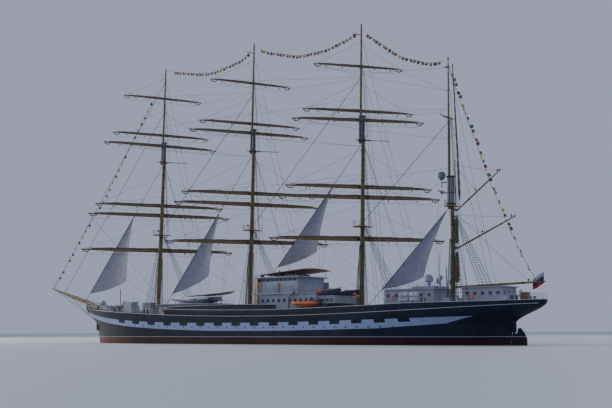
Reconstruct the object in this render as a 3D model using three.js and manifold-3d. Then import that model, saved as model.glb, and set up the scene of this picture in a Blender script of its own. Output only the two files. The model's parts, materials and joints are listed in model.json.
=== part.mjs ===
// A four-masted barque at 1:10: square sails' yards on the fore, main and mizzen masts, and gaffs
// and a boom on the jigger mast. The bow is toward -X, starboard is +Y, up is +Z, and the origin is
// on the centreline amidships, at the waterline. Every size below is in metres of the real ship.

import * as THREE from "three";
import { mergeVertices } from "three/addons/utils/BufferGeometryUtils.js";
import Module from "manifold-3d";

const wasm = await Module();
wasm.setup();

// Driving dimensions
const M = 100;            // millimetres of the model for one metre of the ship
const GAP = 0.003;        // running gap between pieces that touch
const KEEL = -6.4;        // underside of the keel
const DECK = 4.87;        // deck at side, at the lowest point of the sheer
const RAIL = 1.12;        // height of the bulwark over the deck
const WALL = 0.16;        // thickness of the bulwark
const WELL = 0.05;        // the deck between the bulwarks lies this much lower
const BREAK_FORE = -22.0; // the bulwark begins here
const POOP = 28.0;        // the raised poop begins here
const STEM = -52.1;
const TAFFRAIL = 51.3;
const HEAD_RAIL = 0.65;   // height of the low bulwark round the bow
const HEAD_END = -43.0;   // and where it ends

const PAINT = {
  hull: { color: 0x14171d, roughness: 0.45, metalness: 0.1 },
  spar: { color: 0xa9803f, roughness: 0.55, metalness: 0.0 },
  white: { color: 0xd9dde2, roughness: 0.5, metalness: 0.0 },
  wire: { color: 0x1b1d20, roughness: 0.6, metalness: 0.4 },
  canvas: { color: 0xb7bac2, roughness: 0.9, metalness: 0.0 },
  bronze: { color: 0x9a7a45, roughness: 0.35, metalness: 0.9 },
};

const ship = new THREE.Group();

// Solids and meshes

function solidOf(geometry) {
  const bare = new THREE.BufferGeometry();
  bare.setAttribute("position", geometry.getAttribute("position").clone());
  if (geometry.index) bare.setIndex(geometry.index.clone());
  const merged = mergeVertices(bare, 1e-3);
  const place = merged.getAttribute("position").array;
  const faces = [];
  let volume = 0;
  const index = merged.index.array;
  for (let i = 0; i < index.length; i += 3) {
    const [a, b, c] = [index[i], index[i + 1], index[i + 2]];
    if (a === b || b === c || a === c) continue;
    faces.push(a, b, c);
    const [p, q, r] = [a, b, c].map((v) => new THREE.Vector3().fromArray(place, 3 * v));
    volume += p.dot(q.cross(r));
  }
  if (volume < 0) faces.reverse();
  return new wasm.Manifold(new wasm.Mesh({
    numProp: 3,
    vertProperties: new Float32Array(place),
    triVerts: new Uint32Array(faces),
  }));
}

function geometryOf(solid) {
  const mesh = solid.getMesh();
  const geometry = new THREE.BufferGeometry();
  geometry.setAttribute("position", new THREE.Float32BufferAttribute(mesh.vertProperties, 3));
  geometry.setIndex(new THREE.BufferAttribute(mesh.triVerts, 1));
  geometry.computeVertexNormals();
  return geometry;
}

function add(name, solid, paint, parent = ship) {
  const mesh = new THREE.Mesh(geometryOf(solid), new THREE.MeshStandardMaterial(PAINT[paint]));
  mesh.name = name;
  parent.add(mesh);
  return mesh;
}

const join = (...solids) => solids.flat().reduce((whole, piece) => whole.add(piece));

const at = (x, y, z) => new THREE.Vector3(x, y, z);

function block(low, high) {
  const size = high.clone().sub(low).multiplyScalar(M);
  const middle = high.clone().add(low).multiplyScalar(M / 2);
  const geometry = new THREE.BoxGeometry(size.x, size.y, size.z);
  geometry.translate(middle.x, middle.y, middle.z);
  return solidOf(geometry);
}

// A round spar from one point to another; rows of the profile are [share of length, radius].
function spar(from, to, profile, sides = 10) {
  const span = to.clone().sub(from).multiplyScalar(M);
  const length = span.length();
  const outline = profile.map(([share, radius]) => new THREE.Vector2(radius * M, share * length));
  const ends = [outline[0], outline.at(-1)].map((point) => new THREE.Vector2(0, point.y));
  const geometry = new THREE.LatheGeometry([ends[0], ...outline, ends[1]], sides);
  const turn = new THREE.Quaternion().setFromUnitVectors(at(0, 1, 0), span.normalize());
  geometry.applyQuaternion(turn);
  geometry.translate(from.x * M, from.y * M, from.z * M);
  return solidOf(geometry);
}

const rod = (from, to, radius, sides = 8) => spar(from, to, [[0, radius], [1, radius]], sides);

// Straight lengths of pipe along a row of points; each runs a little way past its ends.
const PIPE_OVER = 0.07;
function pipe(points, radius, sides) {
  return points.slice(1).map((to, i) => {
    const over = to.clone().sub(points[i]).setLength(PIPE_OVER * (1 + i / 8));
    return rod(points[i].clone().sub(over), to.clone().add(over), radius, sides);
  });
}

// A flat plate with the outline of a shape, its lower face at z.
function slab(outline, thickness, z, curveSegments) {
  const depth = thickness * M;
  const plate = new THREE.ExtrudeGeometry(outline, { depth, bevelEnabled: false, curveSegments });
  plate.translate(0, 0, z * M);
  return solidOf(plate);
}

// The same standing on edge in the centreline plane: the shape's y is up.
function edgewise(outline, thickness, curveSegments) {
  const depth = thickness * M;
  const plate = new THREE.ExtrudeGeometry(outline, { depth, bevelEnabled: false, curveSegments });
  plate.rotateX(Math.PI / 2);
  plate.translate(0, depth / 2, 0);
  return solidOf(plate);
}

const shifted = (solid, by) => solid.translate(by.x * M, by.y * M, by.z * M);

const bothSides = (make) => [-1, 1].flatMap((side) => make(side));

// A flat tongue with a round end about a pivot on the X axis, from z low to z high.
function tongue(root, pivot, half, low, high) {
  const outline = new THREE.Shape();
  const side = Math.sign(pivot - root);
  outline.absarc(pivot * M, 0, half * M, (-side * Math.PI) / 2, (side * Math.PI) / 2, side < 0);
  outline.lineTo(root * M, side * half * M);
  outline.lineTo(root * M, -side * half * M);
  return slab(outline, high - low, low, 3);
}

// Cuts a piece back from a neighbour, so that the running gap is left between them.
function clear(piece, neighbour, directions) {
  const mesh = neighbour.getMesh();
  for (const [dx, dy, dz] of directions) {
    const geometry = new THREE.BufferGeometry();
    geometry.setAttribute("position", new THREE.Float32BufferAttribute(mesh.vertProperties, 3));
    geometry.setIndex(new THREE.BufferAttribute(mesh.triVerts, 1));
    geometry.translate(dx * GAP * M, dy * GAP * M, dz * GAP * M);
    piece = piece.subtract(solidOf(geometry));
  }
  return piece;
}

// The largest body of a solid, without the slivers that a cut leaves beyond it.
function largest(solid) {
  return solid.decompose().sort((a, b) => b.volume() - a.volume())[0];
}

// Hull: level waterplanes, each with its own stem, stern, entrance and run, stacked from the keel
// to the deck. A waterplane's half-breadth falls from the full breadth by (1 - t^n)^(1/m), with t
// from 0 where the entrance or run begins to 1 at its end.

function deckHeight(x) {
  return DECK + (x < 5 ? 2.42 * ((5 - x) / 56) ** 2.1 : 1.4 * ((x - 5) / 46) ** 1.5);
}

function railHeight(x) {
  const low = THREE.MathUtils.smoothstep(x, POOP, TAFFRAIL);
  return deckHeight(x) + RAIL - 0.55 * low;
}

const WATERPLANES = [
  // z, stem x, stern x, half-breadth, entrance x, n, m, run x, n, m
  [KEEL, -42.0, 44.4, 3.4, -14, 1.5, 1.0, 6, 1.4, 1.0],
  [-5.9, -43.8, 44.6, 5.4, -16, 1.6, 1.0, 6, 1.5, 1.0],
  [-4.9, -45.0, 44.7, 6.5, -18, 1.7, 1.0, 7, 1.6, 1.0],
  [-3.2, -46.3, 44.8, 6.9, -20, 1.8, 1.0, 8, 1.7, 1.0],
  [-1.5, -47.3, 44.9, 7.0, -22, 1.9, 1.0, 10, 1.9, 1.0],
  [0.0, -47.8, 45.0, 7.0, -24, 2.0, 1.0, 12, 2.0, 1.0],
  [1.3, -48.05, 45.4, 7.0, -26, 2.1, 1.0, 14, 2.1, 1.05],
  [3.4, -49.4, 46.9, 7.0, -28, 2.2, 1.05, 18, 2.4, 1.25],
  [DECK, STEM, 51.2, 7.0, -30, 2.3, 1.1, 24, 2.8, 1.7],
];

const STEPS = 26; // stations down each side

function waterline(row, inset = 0) {
  const [, stem, stern, half, entrance, n, m, run, nRun, mRun] = row;
  const points = [];
  for (let i = 0; i <= STEPS; i += 1) {
    const share = (1 - Math.cos((Math.PI * i) / STEPS)) / 2;
    const x = stem + inset + (stern - stem - 2 * inset) * share;
    let breadth = half - inset;
    if (x < entrance) {
      const t = (entrance - x) / (entrance - stem - inset);
      breadth *= Math.max(0, 1 - t ** n) ** (1 / m);
    } else if (x > run) {
      const t = (x - run) / (stern - inset - run);
      breadth *= Math.max(0, 1 - t ** nRun) ** (1 / mRun);
    }
    points.push([x, i === 0 || i === STEPS ? 0 : breadth]);
  }
  return points;
}

// Skins a stack of waterlines; height gives the z of a level at x.
function skin(levels) {
  const around = 2 * STEPS;
  const vertices = [];
  for (const { points, height } of levels) {
    for (let i = 0; i < around; i += 1) {
      const [x, y] = points[i <= STEPS ? i : around - i];
      const side = i <= STEPS ? -1 : 1;
      vertices.push(x * M, side * y * M, height(x) * M);
    }
  }
  const faces = [];
  for (let level = 0; level + 1 < levels.length; level += 1) {
    for (let i = 0; i < around; i += 1) {
      const a = level * around + i;
      const b = level * around + ((i + 1) % around);
      faces.push(a, b, b + around, a, b + around, a + around);
    }
  }
  const top = (levels.length - 1) * around;
  for (let i = 0; i < STEPS; i += 1) {
    for (const [base, flip] of [[0, true], [top, false]]) {
      const across = [1, 0].map((step) => base + ((around - i - step) % around));
      const quad = [base + i, base + i + 1, ...across];
      if (flip) quad.reverse();
      const [a, b, c, d] = quad;
      if (a !== b && b !== c && a !== c) faces.push(a, b, c);
      if (a !== c && c !== d && a !== d) faces.push(a, c, d);
    }
  }
  const geometry = new THREE.BufferGeometry();
  geometry.setAttribute("position", new THREE.Float32BufferAttribute(vertices, 3));
  geometry.setIndex(faces);
  return solidOf(geometry);
}

// A level above the water is lifted with the sheer, more the higher it is.
const level = (row, inset = 0) => ({
  points: waterline(row, inset),
  height: (x) => (row[0] <= 0 ? row[0] : row[0] + (deckHeight(x) - DECK) * (row[0] / DECK) ** 2),
});

const DECK_ROW = WATERPLANES.at(-1);
const RAIL_ROW = [DECK + RAIL, STEM - 0.1, TAFFRAIL, 7.0, -30, 2.3, 1.1, 24, 2.8, 1.8];
const everywhere = (x0, x1) => block(at(x0, -20, -20), at(x1, 20, 20));

function makeHull() {
  const body = skin(WATERPLANES.map((row) => level(row)));
  const sides = skin([
    { points: waterline(DECK_ROW), height: (x) => deckHeight(x) - 0.3 },
    { points: waterline(RAIL_ROW), height: railHeight },
  ]).intersect(everywhere(BREAK_FORE, 60));
  const well = skin([
    { points: waterline(DECK_ROW, WALL), height: (x) => deckHeight(x) - WELL },
    { points: waterline(RAIL_ROW, WALL), height: (x) => railHeight(x) + 1 },
  ]).intersect(everywhere(BREAK_FORE + WALL, POOP));
  const heel = block(at(44.0, -0.15, KEEL), at(46.3, 0.15, KEEL + HEEL));
  const { stock, radius, head } = RUDDER;
  const boss = rod(at(stock, 0, 1.95), at(stock, 0, head + 0.4), 2 * radius, 12);
  const trunk = rod(at(stock, 0, 1), at(stock, 0, head + 0.1), radius + 4 * GAP, 12);
  const bare = join(body, sides, headBulwark(), heel, boss).subtract(well).subtract(trunk);
  return join(bare, raisedStrakes(), deckGear(), anchors(), rafts(), rescueBoats());
}

// A low solid bulwark runs round the head of the forecastle.
function headBulwark() {
  const from = DECK_ROW;
  const to = [DECK + HEAD_RAIL, STEM - 0.1, ...DECK_ROW.slice(2)];
  const rise = (extra) => (x) => deckHeight(x) + extra;
  const outside = skin([
    { points: waterline(from), height: rise(-0.3) },
    { points: waterline(to), height: rise(HEAD_RAIL) },
  ]);
  const inside = skin([
    { points: waterline(from, WALL), height: rise(-0.1) },
    { points: waterline(to, WALL), height: rise(HEAD_RAIL + 1) },
  ]);
  return outside.intersect(everywhere(-60, HEAD_END)).subtract(inside);
}

// The bulwark amidships is one strake higher.
const STRAKE = { x0: BREAK_FORE + 0.1, x1: 5.2, top: 6.93, half: 6.98 };

function raisedStrakes() {
  const { x0, x1, top, half } = STRAKE;
  return bothSides((side) => {
    const [inner, outer] = [side * (half - WALL + 0.02), side * half].sort((a, b) => a - b);
    return block(at(x0, inner, DECK + RAIL - 0.3), at(x1, outer, top));
  });
}

// Turned deck gear: rows are [share of the height, radius].
const CAPSTAN = [[0, 0.55], [0.1, 0.55], [0.2, 0.32], [0.65, 0.32], [0.8, 0.46], [1, 0.42]];
const DRUM = [
  [0, 0.42], [0.1, 0.42], [0.11, 0.25], [0.2, 0.25], [0.21, 0.62], [0.3, 0.62], [0.31, 0.4], [0.44, 0.7],
  [0.56, 0.7], [0.69, 0.4], [0.7, 0.62], [0.79, 0.62], [0.8, 0.25], [0.89, 0.25], [0.9, 0.42], [1, 0.42],
];
const SUNK = 0.1; // deck gear is let this far into the deck

const onDeck = (x, y) => at(x, y, floorHeight(x) - SUNK);
const turnedOn = (x, y, height, profile, sides = 8) => (
  spar(onDeck(x, y), at(x, y, floorHeight(x) + height), profile, sides)
);
const chest = (x, y, halfX, halfY, height) => {
  const z = floorHeight(x);
  return block(at(x - halfX, y - halfY, z - 2 * SUNK), at(x + halfX, y + halfY, z + height));
};

// Windlass: a drum athwart the deck between cheek plates, with its motor abaft it.
const WINDLASS = { x: -40.0, half: 2.3, axis: 0.75, cheekPlates: [-1.55, -0.95, 0.95, 1.55], motorX: -38.85 };

function windlass() {
  const { x, half, axis, cheekPlates, motorX } = WINDLASS;
  const z = floorHeight(x) + axis;
  const drum = spar(at(x, -half, z), at(x, half, z), DRUM, 8);
  const plates = cheekPlates.map((y) => chest(x, y, 0.55, 0.09, 1.0));
  return [drum, ...plates, chest(motorX, 0, 0.75, 0.7, 0.85)];
}

const bittPair = (x, y) => [
  chest(x, y, 0.75, 0.25, 0.1),
  ...[-0.4, 0.4].map((dx) => turnedOn(x + dx, y, 0.75, [[0, 0.16], [1, 0.19]], 6)),
];

// Where the gear stands, port and starboard alike: x, y
const BITTS = [[-38.2, 4.9], [-46.2, 1.9], [-27.6, 6.1], [19.5, 6.0], [33.4, 5.4], [47.6, 3.2]];
const CAPSTANS = [[-44.6, 1.5], [46.6, 1.8]];
const CAPSTAN_HEIGHT = 1.08;
// Lockers, and the light towers on the forecastle: x, y, half-length, half-width, height
const LOCKERS = [[-41.9, 3.9, 1.1, 0.55, 0.95], [-35.9, 2.6, 1.2, 0.8, 2.22], [36.9, 4.2, 0.7, 0.4, 0.8]];
// The hatch abaft the main mast, and the steering gear's box, on the centreline
const MIDDLE = [[21.5, 0, 1.3, 1.3, 1.2], [47.9, 0, 0.6, 0.45, 1.3]];

function deckGear() {
  const pairs = bothSides((side) => [
    ...CAPSTANS.map(([x, y]) => turnedOn(x, side * y, CAPSTAN_HEIGHT, CAPSTAN)),
    ...LOCKERS.map(([x, y, ...sizes]) => chest(x, side * y, ...sizes)),
    ...BITTS.flatMap(([x, y]) => bittPair(x, side * y)),
  ]);
  return [...windlass(), ...pairs, ...MIDDLE.map((sizes) => chest(...sizes))];
}

// A stockless anchor hove up to the hawse on each bow.
const HAWSE = { x: -46.9, y: 1.45, z: 4.4 };

function anchors() {
  const { x, y, z } = HAWSE;
  return bothSides((side) => {
    const [inner, outer] = [side * (y + 0.05), side * (y + 0.6)].sort((a, b) => a - b);
    const crown = block(at(x - 0.55, inner, z - 1.85), at(x + 1.05, outer, z - 1.4));
    const flukes = [-0.62, 0.62].map((dx) => spar(
      at(x + 0.25 + dx, side * (y + 0.4), z - 1.6),
      at(x + 0.25 + 1.2 * dx, side * (y + 0.55), z - 0.45),
      [[0, 0.22], [1, 0.06]],
      6,
    ));
    const eye = at(x - 0.1, side * (y - 0.7), z + 0.3);
    const shank = rod(eye, at(x + 0.25, side * (y + 0.35), z - 1.6), 0.16, 6);
    return [shank, crown, ...flukes];
  });
}

// Life rafts in their canisters, two high in a cradle on each side of the after deck.
const RAFT = { radius: 0.4, length: 1.6, y: 4.6, places: [28.6, 30.5], levels: [7.15, 7.91] };

function rafts() {
  const { radius, length, y, places, levels } = RAFT;
  return bothSides((side) => {
    const canisters = places.flatMap((x) => levels.map((z) => spar(
      at(x, side * y, z),
      at(x + length, side * y, z),
      [[0, 0.6 * radius], [0.06, radius], [0.94, radius], [1, 0.6 * radius]],
      8,
    )));
    const middle = (places[0] + places[1] + length + 0.2) / 2;
    const cradle = chest(middle, side * y, 1.4, 0.12, levels[1] - floorHeight(middle));
    return [...canisters, cradle];
  });
}

// Boats: the half-breadth falls by (1 - |t|^2.4)^0.7 to each end, over a round of stations.
function boat(length, beam, depth, crown) {
  const shape = new THREE.SphereGeometry(1, 10, 8);
  shape.rotateZ(Math.PI / 2);
  const place = shape.getAttribute("position");
  for (let i = 0; i < place.count; i += 1) {
    const t = place.getX(i);
    const round = Math.sqrt(Math.max(0, 1 - t * t));
    const full = Math.max(0, 1 - Math.abs(t) ** 2.4) ** 0.7;
    const across = round > 0 ? place.getY(i) / round : 0;
    const up = round > 0 ? place.getZ(i) / round : 0;
    const high = up > 0 ? crown * up : depth * up * (1 - 0.5 * Math.abs(t) ** 3);
    place.setXYZ(i, (t * length * M) / 2, (across * full * beam * M) / 2, high * full ** 0.3 * M);
  }
  return solidOf(shape);
}

// Two cross bearers that a boat rests in.
const bearers = (places, y, half, low, high) => places.map((x) => block(
  at(x - 0.08, y - half, low),
  at(x + 0.08, y + half, high),
));

// Rescue boats: a fat tube bent round the bow on a moulded bottom, on bearers beside a davit.
const RESCUE = { x: 10.9, y: 5.75, z: 6.95, length: 5.9, beam: 2.0, tube: 0.27, bearers: [9.2, 11.2] };
const DAVIT = [[6.6, 5.2, 4.7], [6.7, 5.3, 7.9], [7.5, 5.5, 8.7], [9.9, 5.75, 10.1]];

function rescueBoat(side) {
  const { x, y, z, length, beam, tube } = RESCUE;
  const [bow, stern, half] = [-length / 2 + tube, length / 2 - 0.2, beam / 2 - tube];
  // rows: along, across in shares of the half-breadth, up
  const line = [[stern, 1, 0], [0, 1, 0], [bow * 0.55, 0.92, 0.04], [bow * 0.85, 0.6, 0.12], [bow, 0, 0.18]];
  const round = [...line, ...line.slice(0, -1).reverse().map(([a, b, c]) => [a, -b, c])];
  const points = round.map(([a, b, c]) => at(a, b * half, c));
  const bottom = shifted(boat(0.94 * length, 0.78 * beam, 0.55, 0.05), at(0.1, 0, -0.1));
  const console = block(at(0.3, -0.35, -0.15), at(0.9, 0.35, 0.75));
  const craft = shifted(join(pipe(points, tube, 8), bottom, console), at(x, side * y, z));
  return [craft, ...bearers(RESCUE.bearers, side * y, 0.6, floorHeight(x) - SUNK, z - 0.2)];
}

const davit = (side) => pipe(DAVIT.map(([x, y, z]) => at(x, side * y, z)), 0.13, 6);

const rescueBoats = () => bothSides((side) => [...rescueBoat(side), ...davit(side)]);

const HEEL = 0.25; // depth of the heel that carries the rudder's foot
const RUDDER = {
  stock: 45.9,
  radius: 0.2,
  head: 3.3,
  foot: KEEL + HEEL + GAP,
  front: 45.2,
  back: 48.0,
  // side view of the blade: x and z, round from the aft corner of the foot
  outline: [
    [48.0, -5.6], [48.0, 1.0], [47.6, 1.9], [47.05, 2.6], [46.55, 2.6],
    [46.4, 1.8], [45.9, 1.8], [45.65, 1.3], [45.2, 0.1],
  ],
};

const hull = makeHull();
add("hull", hull, "hull");

// Rudder: a foil on a round stock that turns in a trunk in the counter.
function makeRudder() {
  const { stock, radius, head, foot, front, back, outline } = RUDDER;
  const top = Math.max(...outline.map(([, z]) => z));
  const foil = new THREE.Shape();
  foil.moveTo(back * M, 0);
  foil.quadraticCurveTo((stock + 0.4) * M, 0.3 * M, (front + 0.15) * M, 0.2 * M);
  foil.quadraticCurveTo(front * M, 0, (front + 0.15) * M, -0.2 * M);
  foil.quadraticCurveTo((stock + 0.4) * M, -0.3 * M, back * M, 0);
  const corners = [[front, foot], [back - 0.4, foot], ...outline];
  const view = new THREE.Shape(corners.map(([x, z]) => new THREE.Vector2(x * M, z * M)));
  const blade = slab(foil, top - foot, foot, 5).intersect(edgewise(view, 2, 1));
  return join(blade, rod(at(stock, 0, 0.8), at(stock, 0, head), radius, 12));
}
add("rudder", makeRudder(), "hull");

// Twin screws: a shaft in a bracket under each quarter, and a three-bladed propeller on its end.
const SCREW = { x: 43.2, y: 3.1, z: -4.1, radius: 1.25, hub: 0.22, shaft: 0.13, bearing: 42.2 };

function makePropeller() {
  const pieces = [spar(at(-0.25, 0, 0), at(0.5, 0, 0), [[0, SCREW.hub], [0.6, SCREW.hub], [0.9, 0.1]], 12)];
  for (let i = 0; i < 3; i += 1) {
    const blade = new THREE.SphereGeometry(M, 8, 7);
    blade.scale(0.06, 0.36, 0.58);
    blade.rotateZ(0.6);
    blade.translate(0, 0, 0.66 * M);
    blade.rotateX((i * 2 * Math.PI) / 3);
    pieces.push(solidOf(blade));
  }
  return join(pieces);
}

function makeShaft(side) {
  const y = side * SCREW.y;
  const from = at(36.0, y - side * 0.15, SCREW.z + 0.15);
  const nose = SCREW.x - 0.25 - 2.5 * GAP;
  const tube = rod(from, at(nose, y, SCREW.z), SCREW.shaft, 10);
  const bearing = rod(at(SCREW.bearing - 0.35, y, SCREW.z), at(SCREW.bearing + 0.35, y, SCREW.z), 0.24, 10);
  const struts = [-1.3, -2.6].map((dy) => rod(
    at(SCREW.bearing, y, SCREW.z),
    at(SCREW.bearing - 0.2, y + side * dy, SCREW.z + (dy < -2 ? 1.2 : 3.6)),
    0.08,
  ));
  const around = [[0, side, 0], [0, 0, -1], [1, 0, 0]];
  return largest(clear(join(tube, bearing, struts), hull, around));
}

for (const [name, side] of [["port", -1], ["starboard", 1]]) {
  add(`propeller_shaft_${name}`, makeShaft(side), "hull");
  add(`propeller_${name}`, makePropeller(), "bronze")
    .position.set(SCREW.x * M, side * SCREW.y * M, SCREW.z * M);
}

// Masts. Each stands in a group of its own that leans aft by the rake, with its origin on the mast's
// axis at z = 5, so that its yards are placed and turned square to it.
const FOOT = 5.0;
const MASTS = [
  // name, x at the foot, rake in degrees, top, crosstrees, cap, truck
  ["fore", -30.61, 1.85, 21.5, 36.5, 40.6, 56.0],
  ["main", -6.57, 1.56, 20.9, 36.0, 40.2, 56.9],
  ["mizzen", 18.32, 1.27, 19.9, 35.0, 39.3, 55.7],
  ["jigger", 35.69, 0.98, 20.7, 22.0, 27.0, 46.7],
];
const LOWER_MAST = { foot: 0.41, head: 0.29 };
const TOP_MAST = { heel: 0.21, head: 0.09, ahead: 0.52 };
const JIGGER_MAST = { foot: 0.38, head: 0.3, ahead: 0.55, trees: 36.5 };
const HORN = { reach: 3.2, out: 3.4 }; // the crosstrees' horns that spread the backstays

const YARDS = [
  // name, half-length, radius, pivot ahead of the mast, yard ahead of the pivot, and then the height
  // and the brace's angle on the fore, main and mizzen masts
  ["course", 15.17, 0.3, 0.95, 0.46, [18.4, 48], [18.7, 48], [17.8, 48]],
  ["lower_topsail", 14.17, 0.27, 0.6, 0.43, [25.5, 41.2], [25.8, 38], [25.0, 47.1]],
  ["upper_topsail", 12.89, 0.25, 0.6, 0.41, [27.5, 39], [27.9, 40.9], [26.8, 44]],
  ["lower_topgallant", 11.71, 0.22, 0.93, 0.38, [39.9, 31.3], [39.5, 34.8], [38.6, 45.7]],
  ["upper_topgallant", 9.92, 0.19, 0.93, 0.35, [42.1, 33.4], [41.3, 34], [40.2, 42.2]],
  ["royal", 8.12, 0.16, 0.93, 0.31, [49.8, 31.3], [49.2, 30.3], [48.2, 40.2]],
];
const TRUSS = { half: 0.12, height: 0.24, cheek: 0.08 };

const leaning = (mast) => {
  const [, x, rake] = mast;
  return new THREE.Matrix4()
    .makeRotationY(THREE.MathUtils.degToRad(rake))
    .setPosition(x * M, 0, FOOT * M);
};

// Puts a geometry made in a mast's own frame where the mast stands.
const placed = (solid, mast) => {
  const geometry = geometryOf(solid);
  geometry.applyMatrix4(leaning(mast));
  return solidOf(geometry);
};

function crosstrees(z, spread) {
  const beams = [-0.34, 0.34].map((y) => block(at(-0.9, y - 0.06, z - 0.16), at(0.9, y + 0.06, z)));
  const bars = [-0.55, 0.45].map((x) => block(at(x, -spread, z - 0.1), at(x + 0.14, spread, z)));
  const horns = bothSides((side) => rod(
    at(0.5, side * 0.5, z - 0.04),
    at(HORN.reach, side * HORN.out, z - 0.04),
    0.06,
    6,
  ));
  return [beams, bars, horns].flat();
}

// The top is a flat plate, round in front, that the topmast shrouds spread over.
function topPlate(z, half, aft) {
  const outline = new THREE.Shape();
  outline.absarc(0, 0, half * M, Math.PI / 2, (3 * Math.PI) / 2, false);
  outline.lineTo(aft * M, -half * M);
  outline.lineTo(aft * M, half * M);
  return slab(outline, 0.12, z, 8);
}

// Two cheeks ahead of the mast hold a yard's truss between them.
function cheeks(z, from, pivot) {
  return [1, -1].map((side) => {
    const inner = z + side * (TRUSS.height / 2 + GAP);
    const outer = inner + side * TRUSS.cheek;
    const [low, high] = [Math.min(inner, outer), Math.max(inner, outer)];
    return tongue(-from, -pivot, TRUSS.half, low, high);
  });
}

// The levels of a mast, over the origin of its own frame.
const levelsOf = (mast) => mast.slice(3).map((z) => z - FOOT);

function makeSquareMast(mast, index) {
  const [top, cross, cap, truck] = levelsOf(mast);
  const { ahead } = TOP_MAST;
  const taper = [[0, LOWER_MAST.foot], [0.45, 0.39], [1, LOWER_MAST.head]];
  const lower = spar(at(0, 0, -1), at(0, 0, cap), taper, 10);
  const upper = spar(
    at(-ahead, 0, cross - 0.6),
    at(-ahead, 0, truck),
    [[0, TOP_MAST.heel], [0.6, 0.17], [0.99, TOP_MAST.head], [0.99, 0.16], [1, 0.16]],
    8,
  );
  const capBand = block(at(-ahead - 0.25, -0.3, cap - 0.35), at(0.33, 0.3, cap - 0.05));
  const heelBand = block(at(-ahead - 0.25, -0.3, cross - 0.4), at(0.3, 0.3, cross - 0.1));
  const trusses = YARDS.flatMap((yard) => {
    const [, , , pivot, , ...places] = yard;
    const z = places[index][0] - FOOT;
    return cheeks(z, pivot > 0.9 && z > 30 ? ahead : 0.1, pivot);
  });
  const mastSolid = join(
    lower, upper, capBand, heelBand, topPlate(top, 1.7, 1.1), crosstrees(cross, 1.5), trusses,
  );
  return largest(clear(placed(mastSolid, mast), hull, [[0, 0, 1]]));
}

// A radome and a radar's bar on arms ahead of the jigger's doubling.
const AERIALS = { x: -1.95, dome: 27.15, radius: 0.56, scanner: 24.6 };

function aerials() {
  const { x, dome, radius, scanner } = AERIALS;
  const ball = new THREE.SphereGeometry(radius * M, 10, 7);
  ball.translate(x * M, 0, (dome - FOOT) * M);
  const post = rod(at(x, 0, dome - FOOT - 1.9), at(x, 0, dome - FOOT - 0.4), 0.07, 6);
  const arms = [dome - 1.15, scanner - 0.25].map((z, i) => (
    rod(at(-JIGGER_MAST.ahead, 0, z - FOOT), at(x - 0.1 * i, 0, z - FOOT), 0.08, 6)
  ));
  const bar = block(at(x - 0.15, -0.95, scanner - FOOT - 0.3), at(x + 0.1, 0.95, scanner - FOOT));
  return [solidOf(ball), post, ...arms, bar];
}

// The spankers are brailed in to rolls along the aft side of the mast, clear of the spars' jaws.
const BRAILED = [
  // z of the foot and of the head, radius, aft of the mast
  [9.75, 14.7, 0.3, 0.6],
  [15.9, 20.1, 0.27, 0.58],
];

function makeJiggerMast(mast) {
  const [, plate, cap, truck] = levelsOf(mast);
  const { foot, head, ahead } = JIGGER_MAST;
  const lower = spar(at(0, 0, -1), at(0, 0, cap), [[0, foot], [1, head]], 10);
  const upper = spar(
    at(-ahead, 0, plate - 0.4),
    at(-ahead, 0, truck),
    [[0, 0.23], [0.55, 0.18], [0.985, 0.09], [0.985, 0.15], [1, 0.15]],
    8,
  );
  const trees = JIGGER_MAST.trees - FOOT;
  const bands = [plate + 0.3, cap - 0.3].map((z) => block(at(-0.85, -0.36, z), at(0.36, 0.36, z + 0.25)));
  const spreader = block(at(-0.75, -1.4, trees), at(-0.35, 1.4, trees + 0.12));
  const strut = rod(at(-0.6, 0, trees), at(-2.1, 0, trees + 0.9), 0.07, 6);
  const rolls = BRAILED.map(([low, high, radius, aft]) => spar(
    at(aft, 0, low - FOOT),
    at(aft, 0, high - FOOT),
    [[0, 0.3 * radius], [0.08, radius], [0.5, radius], [0.92, 0.8 * radius], [1, 0.3 * radius]],
    8,
  ));
  const platform = topPlate(plate, 1.3, 0.55);
  const solid = join(lower, upper, bands, spreader, strut, platform, goosenecks(), aerials(), rolls);
  return largest(clear(placed(solid, mast), hull, [[0, 0, 1]]));
}

// Spars of the jigger mast, hinged to its aft side: the boom and two gaffs.
const FORE_AND_AFT = [
  // name, heel z, peak x aft of the mast, peak z, radius, pivot aft of the mast
  ["spanker_boom", 9.1, 15.4, 9.75, 0.2, 0.62],
  ["lower_gaff", 15.3, 10.9, 19.9, 0.15, 0.58],
  ["upper_gaff", 21.4, 8.5, 27.3, 0.14, 0.58],
];

function goosenecks() {
  return FORE_AND_AFT.flatMap(([name, heel, , , , pivot]) => [1, -1].map((side) => {
    const z = heel - FOOT + side * (TRUSS.height / 2 + GAP + TRUSS.cheek / 2);
    return tongue(0.05, pivot, TRUSS.half, z - TRUSS.cheek / 2, z + TRUSS.cheek / 2);
  }));
}

const mastSolids = {};
for (const [index, mast] of MASTS.entries()) {
  const name = mast[0];
  mastSolids[name] = name === "jigger" ? makeJiggerMast(mast) : makeSquareMast(mast, index);
  add(`${name}_mast`, mastSolids[name], "spar");
}

// Yards: each is a tapered spar with its sail furled on top, made square across its own frame with
// the pivot at the origin.
const ROLL = { radius: 0.9, lift: 0.85, forward: 0.25, reach: 0.88 }; // in shares of the yard's own

function furledSail(half, radius, ahead) {
  const size = ROLL.radius * radius;
  const end = (side) => at(-ahead - ROLL.forward * radius, side * ROLL.reach * half, ROLL.lift * radius);
  const profile = [[0, 0.35], [0.06, 0.7], [0.25, 1], [0.75, 1], [0.94, 0.7], [1, 0.35]];
  return spar(end(-1), end(1), profile.map(([share, width]) => [share, width * size]), 8);
}

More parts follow.
